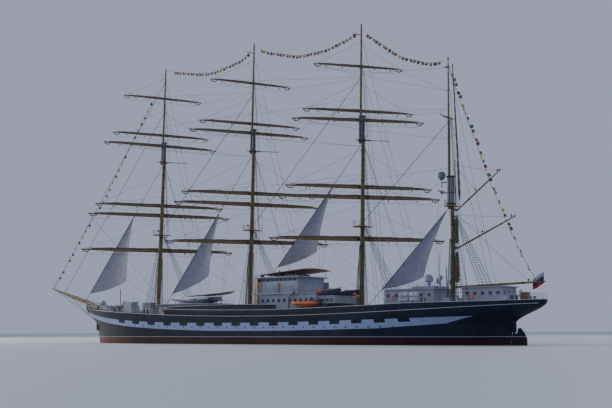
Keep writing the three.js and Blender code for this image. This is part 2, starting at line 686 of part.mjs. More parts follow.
function makeYard(half, radius, ahead) {
  const arm = [[0, 0.42 * radius], [0.18, 0.78 * radius], [0.4, radius]];
  const other = arm.map(([share, size]) => [1 - share, size]).reverse();
  const body = spar(at(-ahead, -half, 0), at(-ahead, half, 0), [...arm, ...other], 8);
  const truss = tongue(-ahead, 0, TRUSS.half, -TRUSS.height / 2, TRUSS.height / 2);
  return join(body, furledSail(half, radius, ahead), truss);
}

for (const [index, mast] of MASTS.entries()) {
  if (mast[0] === "jigger") continue;
  const stand = new THREE.Group();
  stand.position.set(mast[1] * M, 0, FOOT * M);
  stand.rotation.y = THREE.MathUtils.degToRad(mast[2]);
  ship.add(stand);
  for (const [name, half, radius, pivot, ahead, ...places] of YARDS) {
    const [z, brace] = places[index];
    const yard = add(`${mast[0]}_${name}_yard`, makeYard(half, radius, ahead), "spar", stand);
    yard.position.set(-pivot * M, 0, (z - FOOT) * M);
    yard.rotation.z = -THREE.MathUtils.degToRad(brace);
  }
}

const jiggerStand = new THREE.Group();
jiggerStand.position.set(MASTS[3][1] * M, 0, FOOT * M);
jiggerStand.rotation.y = THREE.MathUtils.degToRad(MASTS[3][2]);
ship.add(jiggerStand);
for (const [name, heel, peakX, peakZ, radius, pivot] of FORE_AND_AFT) {
  const reach = TRUSS.height / 2;
  const jaw = tongue(0.5, 0, TRUSS.half, -reach, reach);
  const body = spar(
    at(0.35, 0, 0),
    at(peakX - pivot, 0, peakZ - heel),
    [[0, 0.8 * radius], [0.3, radius], [0.8, 0.8 * radius], [1, 0.5 * radius]],
    8,
  );
  add(name, join(jaw, body), "spar", jiggerStand).position.set(pivot * M, 0, (heel - FOOT) * M);
}

const mastAt = (mast, z, forward = 0) => {
  const rake = THREE.MathUtils.degToRad(mast[2]);
  return at(mast[1] + (z - FOOT) * Math.tan(rake) - forward, 0, z);
};
const [FORE, MAIN, MIZZEN, JIGGER] = MASTS;

// Bowsprit: a spike with its heel in a bed on the forecastle, and two bobstays to the stem.
const SPRIT = { heel: at(-48.6, 0, 7.55), tip: at(-64.1, 0, 11.85) };
const BOBSTAYS = { x: -49.3, ends: [[0.62, 4.6], [0.93, 4.9]] }; // share of the spike, z on the stem
const onSprit = (share) => SPRIT.heel.clone().lerp(SPRIT.tip, share);

function makeBowsprit() {
  const body = spar(SPRIT.heel, SPRIT.tip, [[0, 0.36], [0.3, 0.36], [0.7, 0.26], [1, 0.1]], 12);
  const bed = block(at(-50.9, -0.4, 5.5), at(-49.6, 0.4, 8.0));
  const stays = BOBSTAYS.ends.map(([share, z]) => rod(onSprit(share), at(BOBSTAYS.x, 0, z), 0.06, 6));
  return largest(clear(join(body, bed, stays), hull, [[0, 0, 1], [-1, 0, 0]]));
}
const bowsprit = makeBowsprit();
add("bowsprit", bowsprit, "spar");

// Stays in the centreline plane. Each runs from a mast down to the foot of the mast ahead of it, or
// to the bowsprit, and stops at the gap short of what carries it.
const WIRE = 0.045;
const STAYS = [
  // name, mast, z on that mast, how far ahead of its axis, lower end, what carries the lower end
  ["fore_topmast_stay", FORE, 36.1, 0.3, onSprit(0.27), "bowsprit"],
  ["fore_topgallant_stay", FORE, 47.0, 0.6, onSprit(0.72), "bowsprit"],
  ["fore_royal_stay", FORE, 53.5, 0.6, onSprit(0.97), "bowsprit"],
  ["main_topmast_stay", MAIN, 35.6, 0.3, at(-29.7, 0, 5.95), "fore"],
  ["main_topgallant_stay", MAIN, 47.2, 0.6, mastAt(FORE, 22.4, -0.2), "fore"],
  ["mizzen_topmast_stay", MIZZEN, 34.6, 0.3, at(-5.8, 0, 7.4), "main"],
  ["mizzen_topgallant_stay", MIZZEN, 46.4, 0.6, mastAt(MAIN, 21.8, -0.2), "main"],
  ["jigger_stay", JIGGER, 22.2, 0.6, at(18.9, 0, 5.7), "mizzen"],
  ["jigger_topmast_stay", JIGGER, 36.2, 0.6, mastAt(MIZZEN, 20.8, -0.2), "mizzen"],
];
const carriers = { ...mastSolids, bowsprit };
const stays = {};
for (const [name, mast, z, ahead, foot, carrier] of STAYS) {
  const head = mastAt(mast, z, ahead - 0.3);
  stays[name] = { head, foot };
  let wire = rod(foot, head, WIRE, 6);
  wire = clear(wire, mastSolids[mast[0]], [[-1, 0, 0], [0, 0, -1]]);
  wire = clear(wire, carriers[carrier], [[1, 0, 0], [0, 0, 1]]);
  wire = clear(wire, hull, [[0, 0, 1]]);
  add(name, largest(wire), "wire");
}

// Staysails: flat three-cornered sails a little behind their stays.
const CLOTH = 0.1; // thickness of a sail's solid
const SAILS = [
  // name, stay, tack z, head z, clew x, clew z
  ["fore_topmast_staysail", "fore_topmast_stay", 10.4, 25.7, -40.2, 12.7],
  ["main_topmast_staysail", "main_topmast_stay", 9.7, 24.9, -16.9, 13.0],
  ["mizzen_topmast_staysail", "mizzen_topmast_stay", 13.8, 27.2, 8.9, 16.2],
  ["jigger_staysail", "jigger_stay", 9.2, 21.3, 30.4, 10.9],
];

function makeSail(stay, tackZ, headZ, clewX, clewZ) {
  const { head, foot } = stays[stay];
  const lean = (head.x - foot.x) / (head.z - foot.z);
  const off = (WIRE + GAP) * Math.hypot(1, lean);
  const luff = (z) => new THREE.Vector2((foot.x + (z - foot.z) * lean + off) * M, z * M);
  const [tack, peak] = [luff(tackZ), luff(headZ)];
  const clew = new THREE.Vector2(clewX * M, clewZ * M);
  const bow = (a, b, depth) => {
    const middle = a.clone().lerp(b, 0.5);
    const side = b.clone().sub(a).rotateAround(new THREE.Vector2(), -Math.PI / 2).multiplyScalar(depth);
    return middle.add(side);
  };
  const outline = new THREE.Shape();
  outline.moveTo(tack.x, tack.y);
  const footBow = bow(tack, clew, 0.06);
  outline.quadraticCurveTo(footBow.x, footBow.y, clew.x, clew.y);
  const leechBow = bow(clew, peak, -0.06);
  outline.quadraticCurveTo(leechBow.x, leechBow.y, peak.x, peak.y);
  outline.closePath();
  return edgewise(outline, CLOTH, 6);
}

for (const [name, ...sizes] of SAILS) add(name, makeSail(...sizes), "canvas");

// Shrouds: on each side of a mast a gang of wires from a band under the top to the deck's edge,
// joined by a sheer pole.
const SHROUD = { wire: 0.035, first: 2.8, step: 0.95, count: 4, inboard: 0.35, pole: 1.5, lift: 0.022 };
const BAND = { below: 0.3, out: 0.413, aft: 0.1, spread: 0.15, half: 0.05 };

function deckEdge(x) {
  const [, stem, stern, half, entrance, n, m, run, nRun, mRun] = DECK_ROW;
  const fore = x < entrance ? (1 - ((entrance - x) / (entrance - stem)) ** n) ** (1 / m) : 1;
  const aft = x > run ? (1 - ((x - run) / (stern - run)) ** nRun) ** (1 / mRun) : 1;
  return half * fore * aft;
}

function floorHeight(x) {
  if (x > POOP) return railHeight(x);
  return deckHeight(x) - (x > BREAK_FORE + WALL ? WELL : 0);
}

function makeShrouds(mast, side) {
  const z = mast[3] - BAND.below;
  const head = (i) => mastAt(mast, z).add(at(BAND.aft + (i + 0.5) * BAND.spread, side * BAND.out, 0));
  const foot = (i) => {
    const x = mast[1] + SHROUD.first + i * SHROUD.step;
    return at(x, side * (deckEdge(x) - SHROUD.inboard), floorHeight(x) + SHROUD.lift);
  };
  const order = Array.from({ length: SHROUD.count }, (_, i) => i);
  const wires = order.map((i) => rod(foot(i), head(i), SHROUD.wire, 5));
  const band = rod(head(-0.5), head(SHROUD.count - 0.5), BAND.half, 4);
  const share = SHROUD.pole / (z - foot(0).z);
  const along = (i) => foot(i).lerp(head(i), share);
  const pole = rod(along(-0.3), along(SHROUD.count - 0.7), 0.05, 4);
  return join(wires, band, pole);
}
for (const mast of MASTS) {
  for (const [name, side] of [["port", -1], ["starboard", 1]]) {
    add(`${mast[0]}_shrouds_${name}`, makeShrouds(mast, side), "wire");
  }
}

// Boats on the roofs, in pairs. The crown is the height of the cover over the gunwale.
const PULLING_BOAT = { length: 8.6, beam: 2.3, depth: 0.95, crown: 0.5, x: -19.6, y: 1.95, z: 8.62 };
const WORK_BOAT = { length: 5.6, beam: 2.0, depth: 0.8, crown: 0.35, x: 13.4, y: 3.1, z: 9.0 };

function pairOfBoats({ length, beam, depth, crown, x, y, z }, roof) {
  const places = [x - 0.28 * length, x + 0.28 * length];
  return bothSides((side) => [
    shifted(boat(length, beam, depth, crown), at(x, side * y, z)),
    ...bearers(places, side * y, 0.3 * beam, roof - 0.05, z - 0.25 * depth),
  ]);
}

// Deckhouses: each stands on the deck under it.
const HOUSES = [
  // name, then rows of x0, x1, half-breadth, z0, z1
  ["bridge_house", [
    [-1.6, 12.0, 4.6, 4.0, 8.7],
    [-2.1, 8.4, 4.9, 8.7, 8.95],
    [-1.5, 7.6, 4.0, 8.9, 11.6],
    [-1.7, 8.2, 4.5, 11.6, 11.8],
    [11.9, 15.95, 4.45, 6.9, 8.2],
  ]],
  ["fore_deckhouse", [[-27.0, -14.0, 3.4, 4.0, 7.4], [-27.4, -13.6, 3.7, 7.4, 7.55]]],
  ["aft_deckhouse", [[24.6, 33.8, 2.8, 4.6, 8.8], [24.3, 34.1, 3.0, 8.8, 8.95]]],
  ["poop_house", [[38.6, 45.4, 2.4, 5.0, 8.8], [38.3, 45.7, 2.6, 8.8, 8.95]]],
];
const DOME = [[0, 0.35], [0.2, 0.4], [0.28, 0.7], [0.5, 0.74], [0.75, 0.64], [0.92, 0.42], [1, 0.1]];
const SMALL_DOME = [[0, 0.09], [0.5, 0.09], [0.55, 0.36], [0.85, 0.38], [1, 0.1]];
const onTop = {
  bridge_house: () => pairOfBoats(WORK_BOAT, 8.2),
  fore_deckhouse: () => pairOfBoats(PULLING_BOAT, 7.55),
  aft_deckhouse: () => [
    spar(at(31.4, 0, 8.9), at(31.4, 0, 10.5), DOME, 12),
    spar(at(33.5, 0, 8.9), at(33.5, 0, 10.85), SMALL_DOME, 10),
    ...[-1.2, 1.2].map((y) => rod(at(33.97, y, 8.9), at(33.97, y, 12.5), 0.12, 8)),
  ],
  poop_house: () => [],
};
for (const [name, tiers] of HOUSES) {
  const walls = tiers.map(([x0, x1, half, z0, z1]) => block(at(x0, -half, z0), at(x1, half, z1)));
  add(name, clear(join(walls, onTop[name]()), hull, [[0, 0, 1]]), "white");
}

export default ship;
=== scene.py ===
"""A four-masted barque at one tenth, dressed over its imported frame.

Every size below is in metres of the real ship, with the bow toward -X, starboard +Y and the
waterline at z = 0. make() brings a finished shape to the model's tenth. A shape is worked out as
whole arrays: a grid of two parameters, or a round or square section carried along a path.
"""
import json
import math

import bmesh
import bpy
import numpy as np
from mathutils import Matrix, Vector


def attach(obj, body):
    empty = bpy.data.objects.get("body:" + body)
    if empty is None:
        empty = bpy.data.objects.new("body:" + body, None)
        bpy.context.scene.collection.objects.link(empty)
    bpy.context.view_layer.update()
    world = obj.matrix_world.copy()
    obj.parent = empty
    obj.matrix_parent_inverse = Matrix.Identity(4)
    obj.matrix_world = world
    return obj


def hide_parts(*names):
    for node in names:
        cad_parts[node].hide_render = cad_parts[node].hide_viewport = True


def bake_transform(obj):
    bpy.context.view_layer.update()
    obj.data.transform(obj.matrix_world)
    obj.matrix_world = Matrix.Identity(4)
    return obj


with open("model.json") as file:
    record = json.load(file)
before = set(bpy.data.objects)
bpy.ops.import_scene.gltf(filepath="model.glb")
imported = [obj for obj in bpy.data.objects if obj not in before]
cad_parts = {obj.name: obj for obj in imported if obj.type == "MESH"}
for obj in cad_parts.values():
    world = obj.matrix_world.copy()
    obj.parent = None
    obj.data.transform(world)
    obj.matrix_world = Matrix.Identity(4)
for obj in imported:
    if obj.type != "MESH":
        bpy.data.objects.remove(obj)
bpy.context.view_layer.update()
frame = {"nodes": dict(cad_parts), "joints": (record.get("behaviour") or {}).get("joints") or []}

M = 0.1  # metres of the model for one metre of the ship

# Hull lines
DECK = 4.87  # height of the deck edge amidships
RAIL = 1.12  # height of the rail over the deck
WALL = 0.16  # thickness of the bulwark
WELL = 0.05  # depth of the planking under the deck edge
MIDSHIPS = 5.0  # x of the lowest point of the sheer
FORE_RUN = 56.0  # length over which the sheer rises forward
AFT_RUN = 46.0
BREAK_FORE = -22.0  # aft end of the forecastle
POOP = 28.0  # fore end of the poop
STEM = -52.1
TAFFRAIL = 51.3
HEAD_RAIL = 0.65  # height of the bulwark round the bow
HEAD_END = -43.0
KEEL = -6.4
WATERPLANES = np.array([
    # z, stem x, stern x, half-breadth, entrance x, n, m, run x, n, m
    [KEEL, -42.0, 44.4, 3.4, -14, 1.5, 1.0, 6, 1.4, 1.0],
    [-5.9, -43.8, 44.6, 5.4, -16, 1.6, 1.0, 6, 1.5, 1.0],
    [-4.9, -45.0, 44.7, 6.5, -18, 1.7, 1.0, 7, 1.6, 1.0],
    [-3.2, -46.3, 44.8, 6.9, -20, 1.8, 1.0, 8, 1.7, 1.0],
    [-1.5, -47.3, 44.9, 7.0, -22, 1.9, 1.0, 10, 1.9, 1.0],
    [0.0, -47.8, 45.0, 7.0, -24, 2.0, 1.0, 12, 2.0, 1.0],
    [1.3, -48.05, 45.4, 7.0, -26, 2.1, 1.0, 14, 2.1, 1.05],
    [3.4, -49.4, 46.9, 7.0, -28, 2.2, 1.05, 18, 2.4, 1.25],
    [DECK, STEM, 51.2, 7.0, -30, 2.3, 1.1, 24, 2.8, 1.7],
    [DECK + RAIL, STEM - 0.1, TAFFRAIL, 7.0, -30, 2.3, 1.1, 24, 2.8, 1.8],
])

# Masts and spars
FOOT = 5.0
MASTS = {
    # name: x at the foot, rake in degrees, top, crosstrees, cap, truck
    "fore": (-30.61, 1.85, 21.5, 36.5, 40.6, 56.0),
    "main": (-6.57, 1.56, 20.9, 36.0, 40.2, 56.9),
    "mizzen": (18.32, 1.27, 19.9, 35.0, 39.3, 55.7),
    "jigger": (35.69, 0.98, 20.7, 22.0, 27.0, 46.7),
}
YARDS = {
    # name: half-length, radius, pivot ahead of the mast, yard ahead of the pivot, radius of the furled sail
    "course": (15.17, 0.3, 0.95, 0.46, 0.29),
    "lower_topsail": (14.17, 0.27, 0.6, 0.43, 0.26),
    "upper_topsail": (12.89, 0.25, 0.6, 0.41, 0.25),
    "lower_topgallant": (11.71, 0.22, 0.93, 0.38, 0.22),
    "upper_topgallant": (9.92, 0.19, 0.93, 0.35, 0.2),
    "royal": (8.12, 0.16, 0.93, 0.31, 0.17),
}
SHARP = 48.0  # degrees from square at which a yard is braced sharp up
TRUSS = {"half": 0.12, "height": 0.24, "cheek": 0.08}
GAP = 0.003  # between a truss and each of its cheeks
JIGGER_TREES = 36.5  # height of the jigger topmast's spreader
PIVOT_ON_TOPMAST = 0.9  # a yard above the lower mast with its pivot further ahead hangs from the topmast
LOWER_MAST_TOP = 30  # in a mast's own frame
PORT_STARBOARD = (("port", -1), ("starboard", 1))
GAFFS = {
    # name: heel z, peak x aft of the mast, peak z, radius, pivot aft of the mast
    "spanker_boom": (9.1, 15.4, 9.75, 0.2, 0.62),
    "lower_gaff": (15.3, 10.9, 19.9, 0.15, 0.58),
    "upper_gaff": (21.4, 8.5, 27.3, 0.14, 0.58),
}


# Shapes

class Shape:
    """Points in ship metres, lists of face index arrays, a material number for each, and a UV."""

    def __init__(self, points, faces, paint=None, uv=None):
        self.points = np.asarray(points, float).reshape(-1, 3)
        self.faces = [np.asarray(f, int) for f in faces if len(f)]
        self.paints = list(paint) if isinstance(paint, list) else [paint] * len(self.faces)
        self.uv = np.zeros((len(self.points), 2)) if uv is None else np.asarray(uv, float).reshape(-1, 2)

    def painted(self, paint):
        self.paints = [paint] * len(self.faces)
        return self

    def moved(self, by):
        return Shape(self.points + np.asarray(by, float), self.faces, self.paints, self.uv)

    def mirrored(self):
        """The same on the other side of the centreline, with each face turned round."""
        return Shape(self.points * (1, -1, 1), [f[:, ::-1] for f in self.faces], self.paints, self.uv)

    def placed(self, origin, basis):
        """Points given in a local frame whose axes are the basis rows, put where it stands."""
        return Shape(np.asarray(origin) + self.points @ np.asarray(basis), self.faces, self.paints, self.uv)


def joined(*shapes):
    """Several shapes as one, with their faces counted on from one to the next."""
    starts = np.cumsum([0] + [len(s.points) for s in shapes])
    faces = [f + start for s, start in zip(shapes, starts) for f in s.faces]
    paints = [p for s in shapes for p in s.paints]
    points = np.concatenate([s.points for s in shapes])
    return Shape(points, faces, paints, np.concatenate([s.uv for s in shapes]))


def both(shape):
    """A shape and its mirror image on the other side."""
    return joined(shape, shape.mirrored())


def unit(vectors):
    """Vectors at length 1; a zero stays a zero."""
    length = np.linalg.norm(vectors, axis=-1, keepdims=True)
    return vectors / np.where(length < 1e-12, 1, length)


def stacked(*values):
    """Coordinates side by side as points; a value or a row is spread over the others' shape."""
    return np.stack(np.broadcast_arrays(*values), -1)


def rings(centres, tangents, radii, sides):
    """Round sections: centre + radius * (cos a * across + sin a * over), square to the tangent."""
    steep = np.abs(tangents.mean(axis=1, keepdims=True)[..., 2:]) > 0.9
    up = np.where(steep, (1.0, 0.0, 0.0), (0.0, 0.0, 1.0))
    across = unit(np.cross(tangents, up))
    over = np.cross(across, tangents)
    angle = np.linspace(0, 2 * np.pi, sides, endpoint=False)[:, None]
    ring = np.cos(angle) * across[..., None, :] + np.sin(angle) * over[..., None, :]
    points = centres[..., None, :] + np.asarray(radii)[..., None, None] * ring
    count, steps = centres.shape[:2]
    index = np.arange(count * steps * sides).reshape(count, steps, sides)
    a, b = index[:, :-1], index[:, 1:]
    wall = stacked(a, b, np.roll(b, -1, 2), np.roll(a, -1, 2)).reshape(-1, 4)
    along = np.arange(steps)[None, :, None] / max(1, steps - 1)
    uv = stacked(along + np.zeros((count, 1, 1)), np.arange(sides) / sides)
    return Shape(points, [wall, index[:, 0], index[:, -1, ::-1]], None, uv)


def turned(starts, ends, profile, sides):
    """Turned pieces on straight axes: rows of the profile are (share of the length, radius)."""
    starts, ends = (np.atleast_2d(np.asarray(p, float)) for p in (starts, ends))
    share, radius = np.asarray(profile, float).T
    centres = starts[:, None] + (ends - starts)[:, None] * share[:, None]
    tangents = np.broadcast_to(unit(ends - starts)[:, None], centres.shape)
    radii = np.broadcast_to(radius, centres.shape[:2])
    return rings(centres, tangents, radii, sides)


def rods(starts, ends, radius, sides):
    """Straight round bars of one radius."""
    return turned(starts, ends, [(0, radius), (1, radius)], sides)


def tubes(paths, radii, sides):
    """Round tubes along curved paths of (count, steps, 3) points."""
    paths = np.asarray(paths, float)
    if paths.ndim == 2:
        paths = paths[None]
    radii = np.broadcast_to(np.asarray(radii, float), paths.shape[:2])
    return rings(paths, unit(np.gradient(paths, axis=1)), radii, sides)


def rope(start, end, radius, sag, steps, sides):
    """A rope between two points, sagging by a parabola of sag times its span."""
    t = np.linspace(0, 1, steps)[:, None]
    path = start + (end - start) * t
    path[:, 2] -= sag * np.linalg.norm(end - start) * (4 * t * (1 - t))[:, 0]
    return tubes(path, radius, sides)


CORNERS = np.array([[i, j, k] for i in (0, 1) for j in (0, 1) for k in (0, 1)], float)
BOX_FACES = np.array([
    [0, 1, 3, 2], [4, 6, 7, 5], [0, 4, 5, 1], [2, 3, 7, 6], [0, 2, 6, 4], [1, 5, 7, 3],
])


def boxes(lows, highs):
    """Closed boxes between many low and high corners."""
    lows, highs = (np.atleast_2d(np.asarray(p, float)) for p in (lows, highs))
    points = lows[:, None] + (highs - lows)[:, None] * CORNERS
    faces = (BOX_FACES[None] + 8 * np.arange(len(lows))[:, None, None]).reshape(-1, 4)
    return Shape(points, [faces])


def slab(side, x, y, z):
    """A box on one side of the ship: x, y and z are its two limits, with y outward from the middle."""
    near, far = sorted((side * y[0], side * y[1]))
    return boxes([[x[0], near, z[0]]], [[x[1], far, z[1]]])


def skin(points, close_v=False, uv=None):
    """A grid of points as quads; its second direction may close on itself."""
    nu, nv = points.shape[:2]
    index = np.arange(nu * nv).reshape(nu, nv)
    if close_v:
        index = np.concatenate([index, index[:, :1]], 1)
    quads = stacked(index[:-1, :-1], index[1:, :-1], index[1:, 1:], index[:-1, 1:])
    return Shape(points, [quads.reshape(-1, 4)], None, uv)


def cloth(points, thickness, uv=None):
    """A closed thin sheet: the grid moved half the thickness to each side, with a rim round it."""
    normal = unit(np.cross(np.gradient(points, axis=0), np.gradient(points, axis=1)))
    front, back = points + normal * thickness / 2, points - normal * thickness / 2
    nu, nv = points.shape[:2]
    index = np.arange(nu * nv).reshape(nu, nv)
    face = skin(points).faces[0]
    rim = np.concatenate([index[:, 0], index[-1, 1:], index[-2::-1, -1], index[0, -2:0:-1]])
    other = rim + nu * nv
    edge = stacked(rim, other, np.roll(other, -1), np.roll(rim, -1))
    if uv is None:
        grid = np.meshgrid(np.linspace(0, 1, nu), np.linspace(0, 1, nv), indexing="ij")
        uv = np.stack(grid, -1)
    uv = np.concatenate([uv.reshape(-1, 2)] * 2)
    both_sides = np.concatenate([front.reshape(-1, 3), back.reshape(-1, 3)])
    return Shape(both_sides, [face, face[:, ::-1] + nu * nv, edge], None, uv)


def capped(grid, uv=None):
    """A closed body through rings of points, one after another, with a cap on the first and the last."""
    shape = skin(grid, close_v=True, uv=uv)
    index = np.arange(grid.shape[0] * grid.shape[1]).reshape(grid.shape[:2])
    shape.faces += [index[:1], index[-1:, ::-1]]
    shape.paints += [None, None]
    return shape


def spun(rows, centre, sides=24):
    """A turned body about the vertical: rows are (radius, height)."""
    rows = np.asarray(rows, float)
    angle = np.linspace(2 * np.pi, 0, sides, endpoint=False)
    ring = stacked(np.cos(angle), np.sin(angle), 0.0)
    points = rows[:, None, :1] * ring + np.array([0, 0, 1.0]) * rows[:, None, 1:]
    return capped(points).moved(centre)


def make(name, shape, paint, body="root", stands_for=(), angle=35, merge=0.0):
    """Makes a shape a mesh at the model's scale, riding on its body; paint is for faces with none."""
    paints = [paint if number is None else number for number in shape.paints]
    used = sorted(set(paints))
    mesh = bpy.data.meshes.new(name)
    faces = [face for block in shape.faces for face in block.tolist()]
    mesh.from_pydata((shape.points * M).tolist(), [], faces)
    counts = [len(block) for block in shape.faces]
    mesh.polygons.foreach_set("material_index", np.repeat([used.index(p) for p in paints], counts))
    uv = mesh.uv_layers.new(name="UVMap")
    corner = np.empty(len(mesh.loops), int)
    mesh.loops.foreach_get("vertex_index", corner)
    uv.data.foreach_set("uv", shape.uv[corner].ravel())
    if merge:
        weld(mesh, merge * M)
    mesh.shade_smooth()
    mesh.set_sharp_from_angle(angle=math.radians(angle))
    for number in used:
        mesh.materials.append(PAINTS[number])
    piece = bpy.data.objects.new(name, mesh)
    bpy.context.scene.collection.objects.link(piece)
    if body:
        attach(piece, body)
    if stands_for:
        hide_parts(*stands_for)
    return piece


def weld(mesh, distance):
    """Joins the points of a mesh that lie closer than the distance."""
    body = bmesh.new()
    body.from_mesh(mesh)
    bmesh.ops.remove_doubles(body, verts=body.verts, dist=distance)
    bmesh.ops.dissolve_degenerate(body, edges=body.edges, dist=distance / 4)
    body.to_mesh(mesh)
    body.free()


# Shader maths

class Sock:
    """One socket of a material; a sum with it adds its Math nodes."""

    def __init__(self, paint, socket):
        self.paint, self.socket = paint, socket

    def _math(self, operation, *values):
        return self.paint.node("ShaderNodeMath", {"operation": operation}, dict(enumerate(values)))

    def __add__(self, other):
        return self._math("ADD", self, other)

    def __radd__(self, other):
        return self._math("ADD", other, self)

    def __sub__(self, other):
        return self._math("SUBTRACT", self, other)

    def __rsub__(self, other):
        return self._math("SUBTRACT", other, self)

    def __mul__(self, other):
        return self._math("MULTIPLY", self, other)

    def __rmul__(self, other):
        return self._math("MULTIPLY", other, self)

    def __truediv__(self, other):
        return self._math("DIVIDE", self, other)

    def __pow__(self, other):
        return self._math("POWER", self, other)

    def __gt__(self, other):
        return self._math("GREATER_THAN", self, other)

    def __lt__(self, other):
        return self._math("LESS_THAN", self, other)

    def __mod__(self, other):
        return self._math("FLOORED_MODULO", self, other)

    def __abs__(self):
        return self._math("ABSOLUTE", self)

    def high(self, other):
        return self._math("MAXIMUM", self, other)

    def low(self, other):
        return self._math("MINIMUM", self, other)

    def ramp(self, low, high):
        """0 below low, 1 above high."""
        sockets = {"Value": self, "From Min": low, "From Max": high}
        return self.paint.node("ShaderNodeMapRange", {"clamp": True}, sockets)


class Paint:
    """A material; node() adds any node from its type, its settings and then its sockets."""

    def __init__(self, name, **constants):
        self.material = bpy.data.materials.new(name)
        self.material.use_nodes = True
        self.tree = self.material.node_tree
        self.shader = self.tree.nodes["Principled BSDF"]
        for socket, value in constants.items():
            self.shader.inputs[socket.replace("_", " ")].default_value = value

    def node(self, kind, settings, sockets, out=0):
        node = self.tree.nodes.new(kind)
        for key, value in settings.items():
            setattr(node, key, value)
        for key, value in sockets.items():
            self.put(node.inputs[key], value)
        return Sock(self, node.outputs[out])

    def put(self, socket, value):
        if isinstance(value, Sock):
            self.tree.links.new(value.socket, socket)
        else:
            socket.default_value = value

    def place(self):
        """Object coordinates in ship metres."""
        where = self.node("ShaderNodeTexCoord", {}, {}, "Object")
        return self.node("ShaderNodeVectorMath", {"operation": "SCALE"}, {0: where, "Scale": 1 / M})

    def axes(self, vector=None):
        vector = vector or self.place()
        split = self.node("ShaderNodeSeparateXYZ", {}, {0: vector}).socket.node
        return [Sock(self, split.outputs[i]) for i in range(3)]

    def stretched(self, scale):
        return self.node("ShaderNodeVectorMath", {"operation": "MULTIPLY"}, {0: self.place(), 1: scale})

    def noise(self, scale, detail, stretch=(1, 1, 1), rough=0.55):
        where = self.stretched(stretch)
        sockets = {"Vector": where, "Scale": scale, "Detail": detail, "Roughness": rough}
        return self.node("ShaderNodeTexNoise", {}, sockets)

    def mix(self, factor, a, b):
        """Color a where the factor is 0 and b where it is 1."""
        return self.node("ShaderNodeMix", {"data_type": "RGBA"}, {0: factor, 6: a, 7: b}, 2)

    def color(self, value):
        self.put(self.shader.inputs["Base Color"], value)
        return self

    def rough(self, value):
        self.put(self.shader.inputs["Roughness"], value)
        return self

    def bump(self, height, distance, strength):
        sockets = {"Height": height, "Distance": distance * M, "Strength": strength}
        self.put(self.shader.inputs["Normal"], self.node("ShaderNodeBump", {}, sockets))
        return self


def rgb(red, green, blue):
    return (red, green, blue, 1.0)


def hull_paint():
    """Navy plates with a pale band and dark painted ports, over an oxide boot top with weed on it.

    The band's top is at 3.78 + 2.87 fore^3.5, no more than 6.08, plus 0.94 aft^1.34, where fore and
    aft run from 0 amidships to 1 at the ends. The band narrows forward and runs out toward the stern.
    A port is dark where x lies within a metre of a port's middle."""
    port_every, port_half, first_port = 4.28, 1.0, -33.8
    boot_top, plate, strake_height, seam_half = 1.28, 7.2, 1.45, 0.03
    paint = Paint("hull_paint", Roughness=0.42, Specular_IOR_Level=0.15)
    x, _, z = paint.axes()
    fore = ((MIDSHIPS - x) / FORE_RUN).high(0.0)
    aft = ((x - MIDSHIPS) / AFT_RUN).high(0.0)
    top = (3.78 + 2.87 * fore ** 3.5).low(6.08) + 0.94 * aft ** 1.34
    narrow = ((-10 - x) / 36).high(0.0).low(1.0) * 0.5
    tail = ((41.4 - x) / 4.6).high(0.0).low(1.0)
    depth = (1.42 - narrow).low(1.0 + (36.5 - x) * 0.038) * tail
    in_band = (z < top) * (z > top - depth)
    shift = abs(((x - first_port + port_every / 2) % port_every) - port_every / 2)
    port = (shift < port_half) * (z > top - 0.55) * (x > -35.0) * (x < 33.0)
    white = in_band * (1 - port)
    streak = paint.noise(0.5, 5, (2.2, 2.2, 0.12))
    blotch = paint.noise(0.35, 4)
    fine = paint.noise(6.0, 4)
    navy = paint.mix(blotch.ramp(0.3, 0.75), rgb(0.010, 0.014, 0.026), rgb(0.020, 0.027, 0.046))
    navy = paint.mix(streak.ramp(0.55, 0.8) * 0.35, navy, rgb(0.045, 0.05, 0.06))
    # painted sheen: the plating turns lighter and browner toward the bow, where the low sun lights it
    bow_sheen = (-38 - x).ramp(0.0, 11.0) * (0.4 + streak * 0.6)
    navy = paint.mix(bow_sheen.low(1.0), navy, rgb(0.060, 0.058, 0.052))
    pale = paint.mix(streak.ramp(0.45, 0.85) * 0.5, rgb(0.265, 0.34, 0.54), rgb(0.17, 0.21, 0.30))
    side = paint.mix(white, navy, pale)
    boot = paint.mix(blotch.ramp(0.3, 0.7), rgb(0.028, 0.014, 0.014), rgb(0.050, 0.022, 0.020))
    # painted light: the boot top is near black aft and shows its red-brown only toward the bow, where the sun
    # falls
    boot = paint.mix((-30 - x).ramp(0.0, 14.0) * 0.8, boot, rgb(0.13, 0.05, 0.038))
    weed = paint.mix((0.5 - z).ramp(0.0, 0.5) * fine.ramp(0.35, 0.6), boot, rgb(0.03, 0.035, 0.02))
    color = paint.mix(z < boot_top, side, weed)
    line = (z > boot_top) * (z < boot_top + 0.1)
    color = paint.mix(line, color, rgb(0.30, 0.33, 0.38))
    seam = abs((x % plate) - plate / 2) < seam_half
    strake = abs((z % strake_height) - 0.7) < 0.02
    plates = 1 - (seam.high(strake)) * 0.8 + fine * 0.25 + blotch * 0.8
    paint.color(color).rough(0.36 + blotch * 0.2).bump(plates, 0.03, 0.35)
    return paint.material


def plank_paint():
    """Deck planks along the ship: dark seams every width in y, and butts every length in x that
    move on from one plank to the next."""
    width, length = 0.16, 6.0
    paint = Paint("deck_planks", Roughness=0.7)
    x, y, _ = paint.axes()
    across = y % width
    board = (y - across) * 7.3
    butt = (x + board * 3.1) % length < 0.03
    gap = (across < 0.018).high(butt)
    grain = paint.noise(2.0, 5, (0.3, 6.0, 1.0))
    tone = paint.node("ShaderNodeTexWhiteNoise", {"noise_dimensions": "1D"}, {"W": board})
    wood = paint.mix(grain.ramp(0.25, 0.8), rgb(0.30, 0.22, 0.15), rgb(0.44, 0.35, 0.25))
    wood = paint.mix(tone * 0.35, wood, rgb(0.24, 0.19, 0.14))
    color = paint.mix(gap, wood, rgb(0.03, 0.028, 0.025))
    paint.color(color).rough(0.6 + grain * 0.2).bump(1 - gap, 0.01, 0.4)
    return paint.material


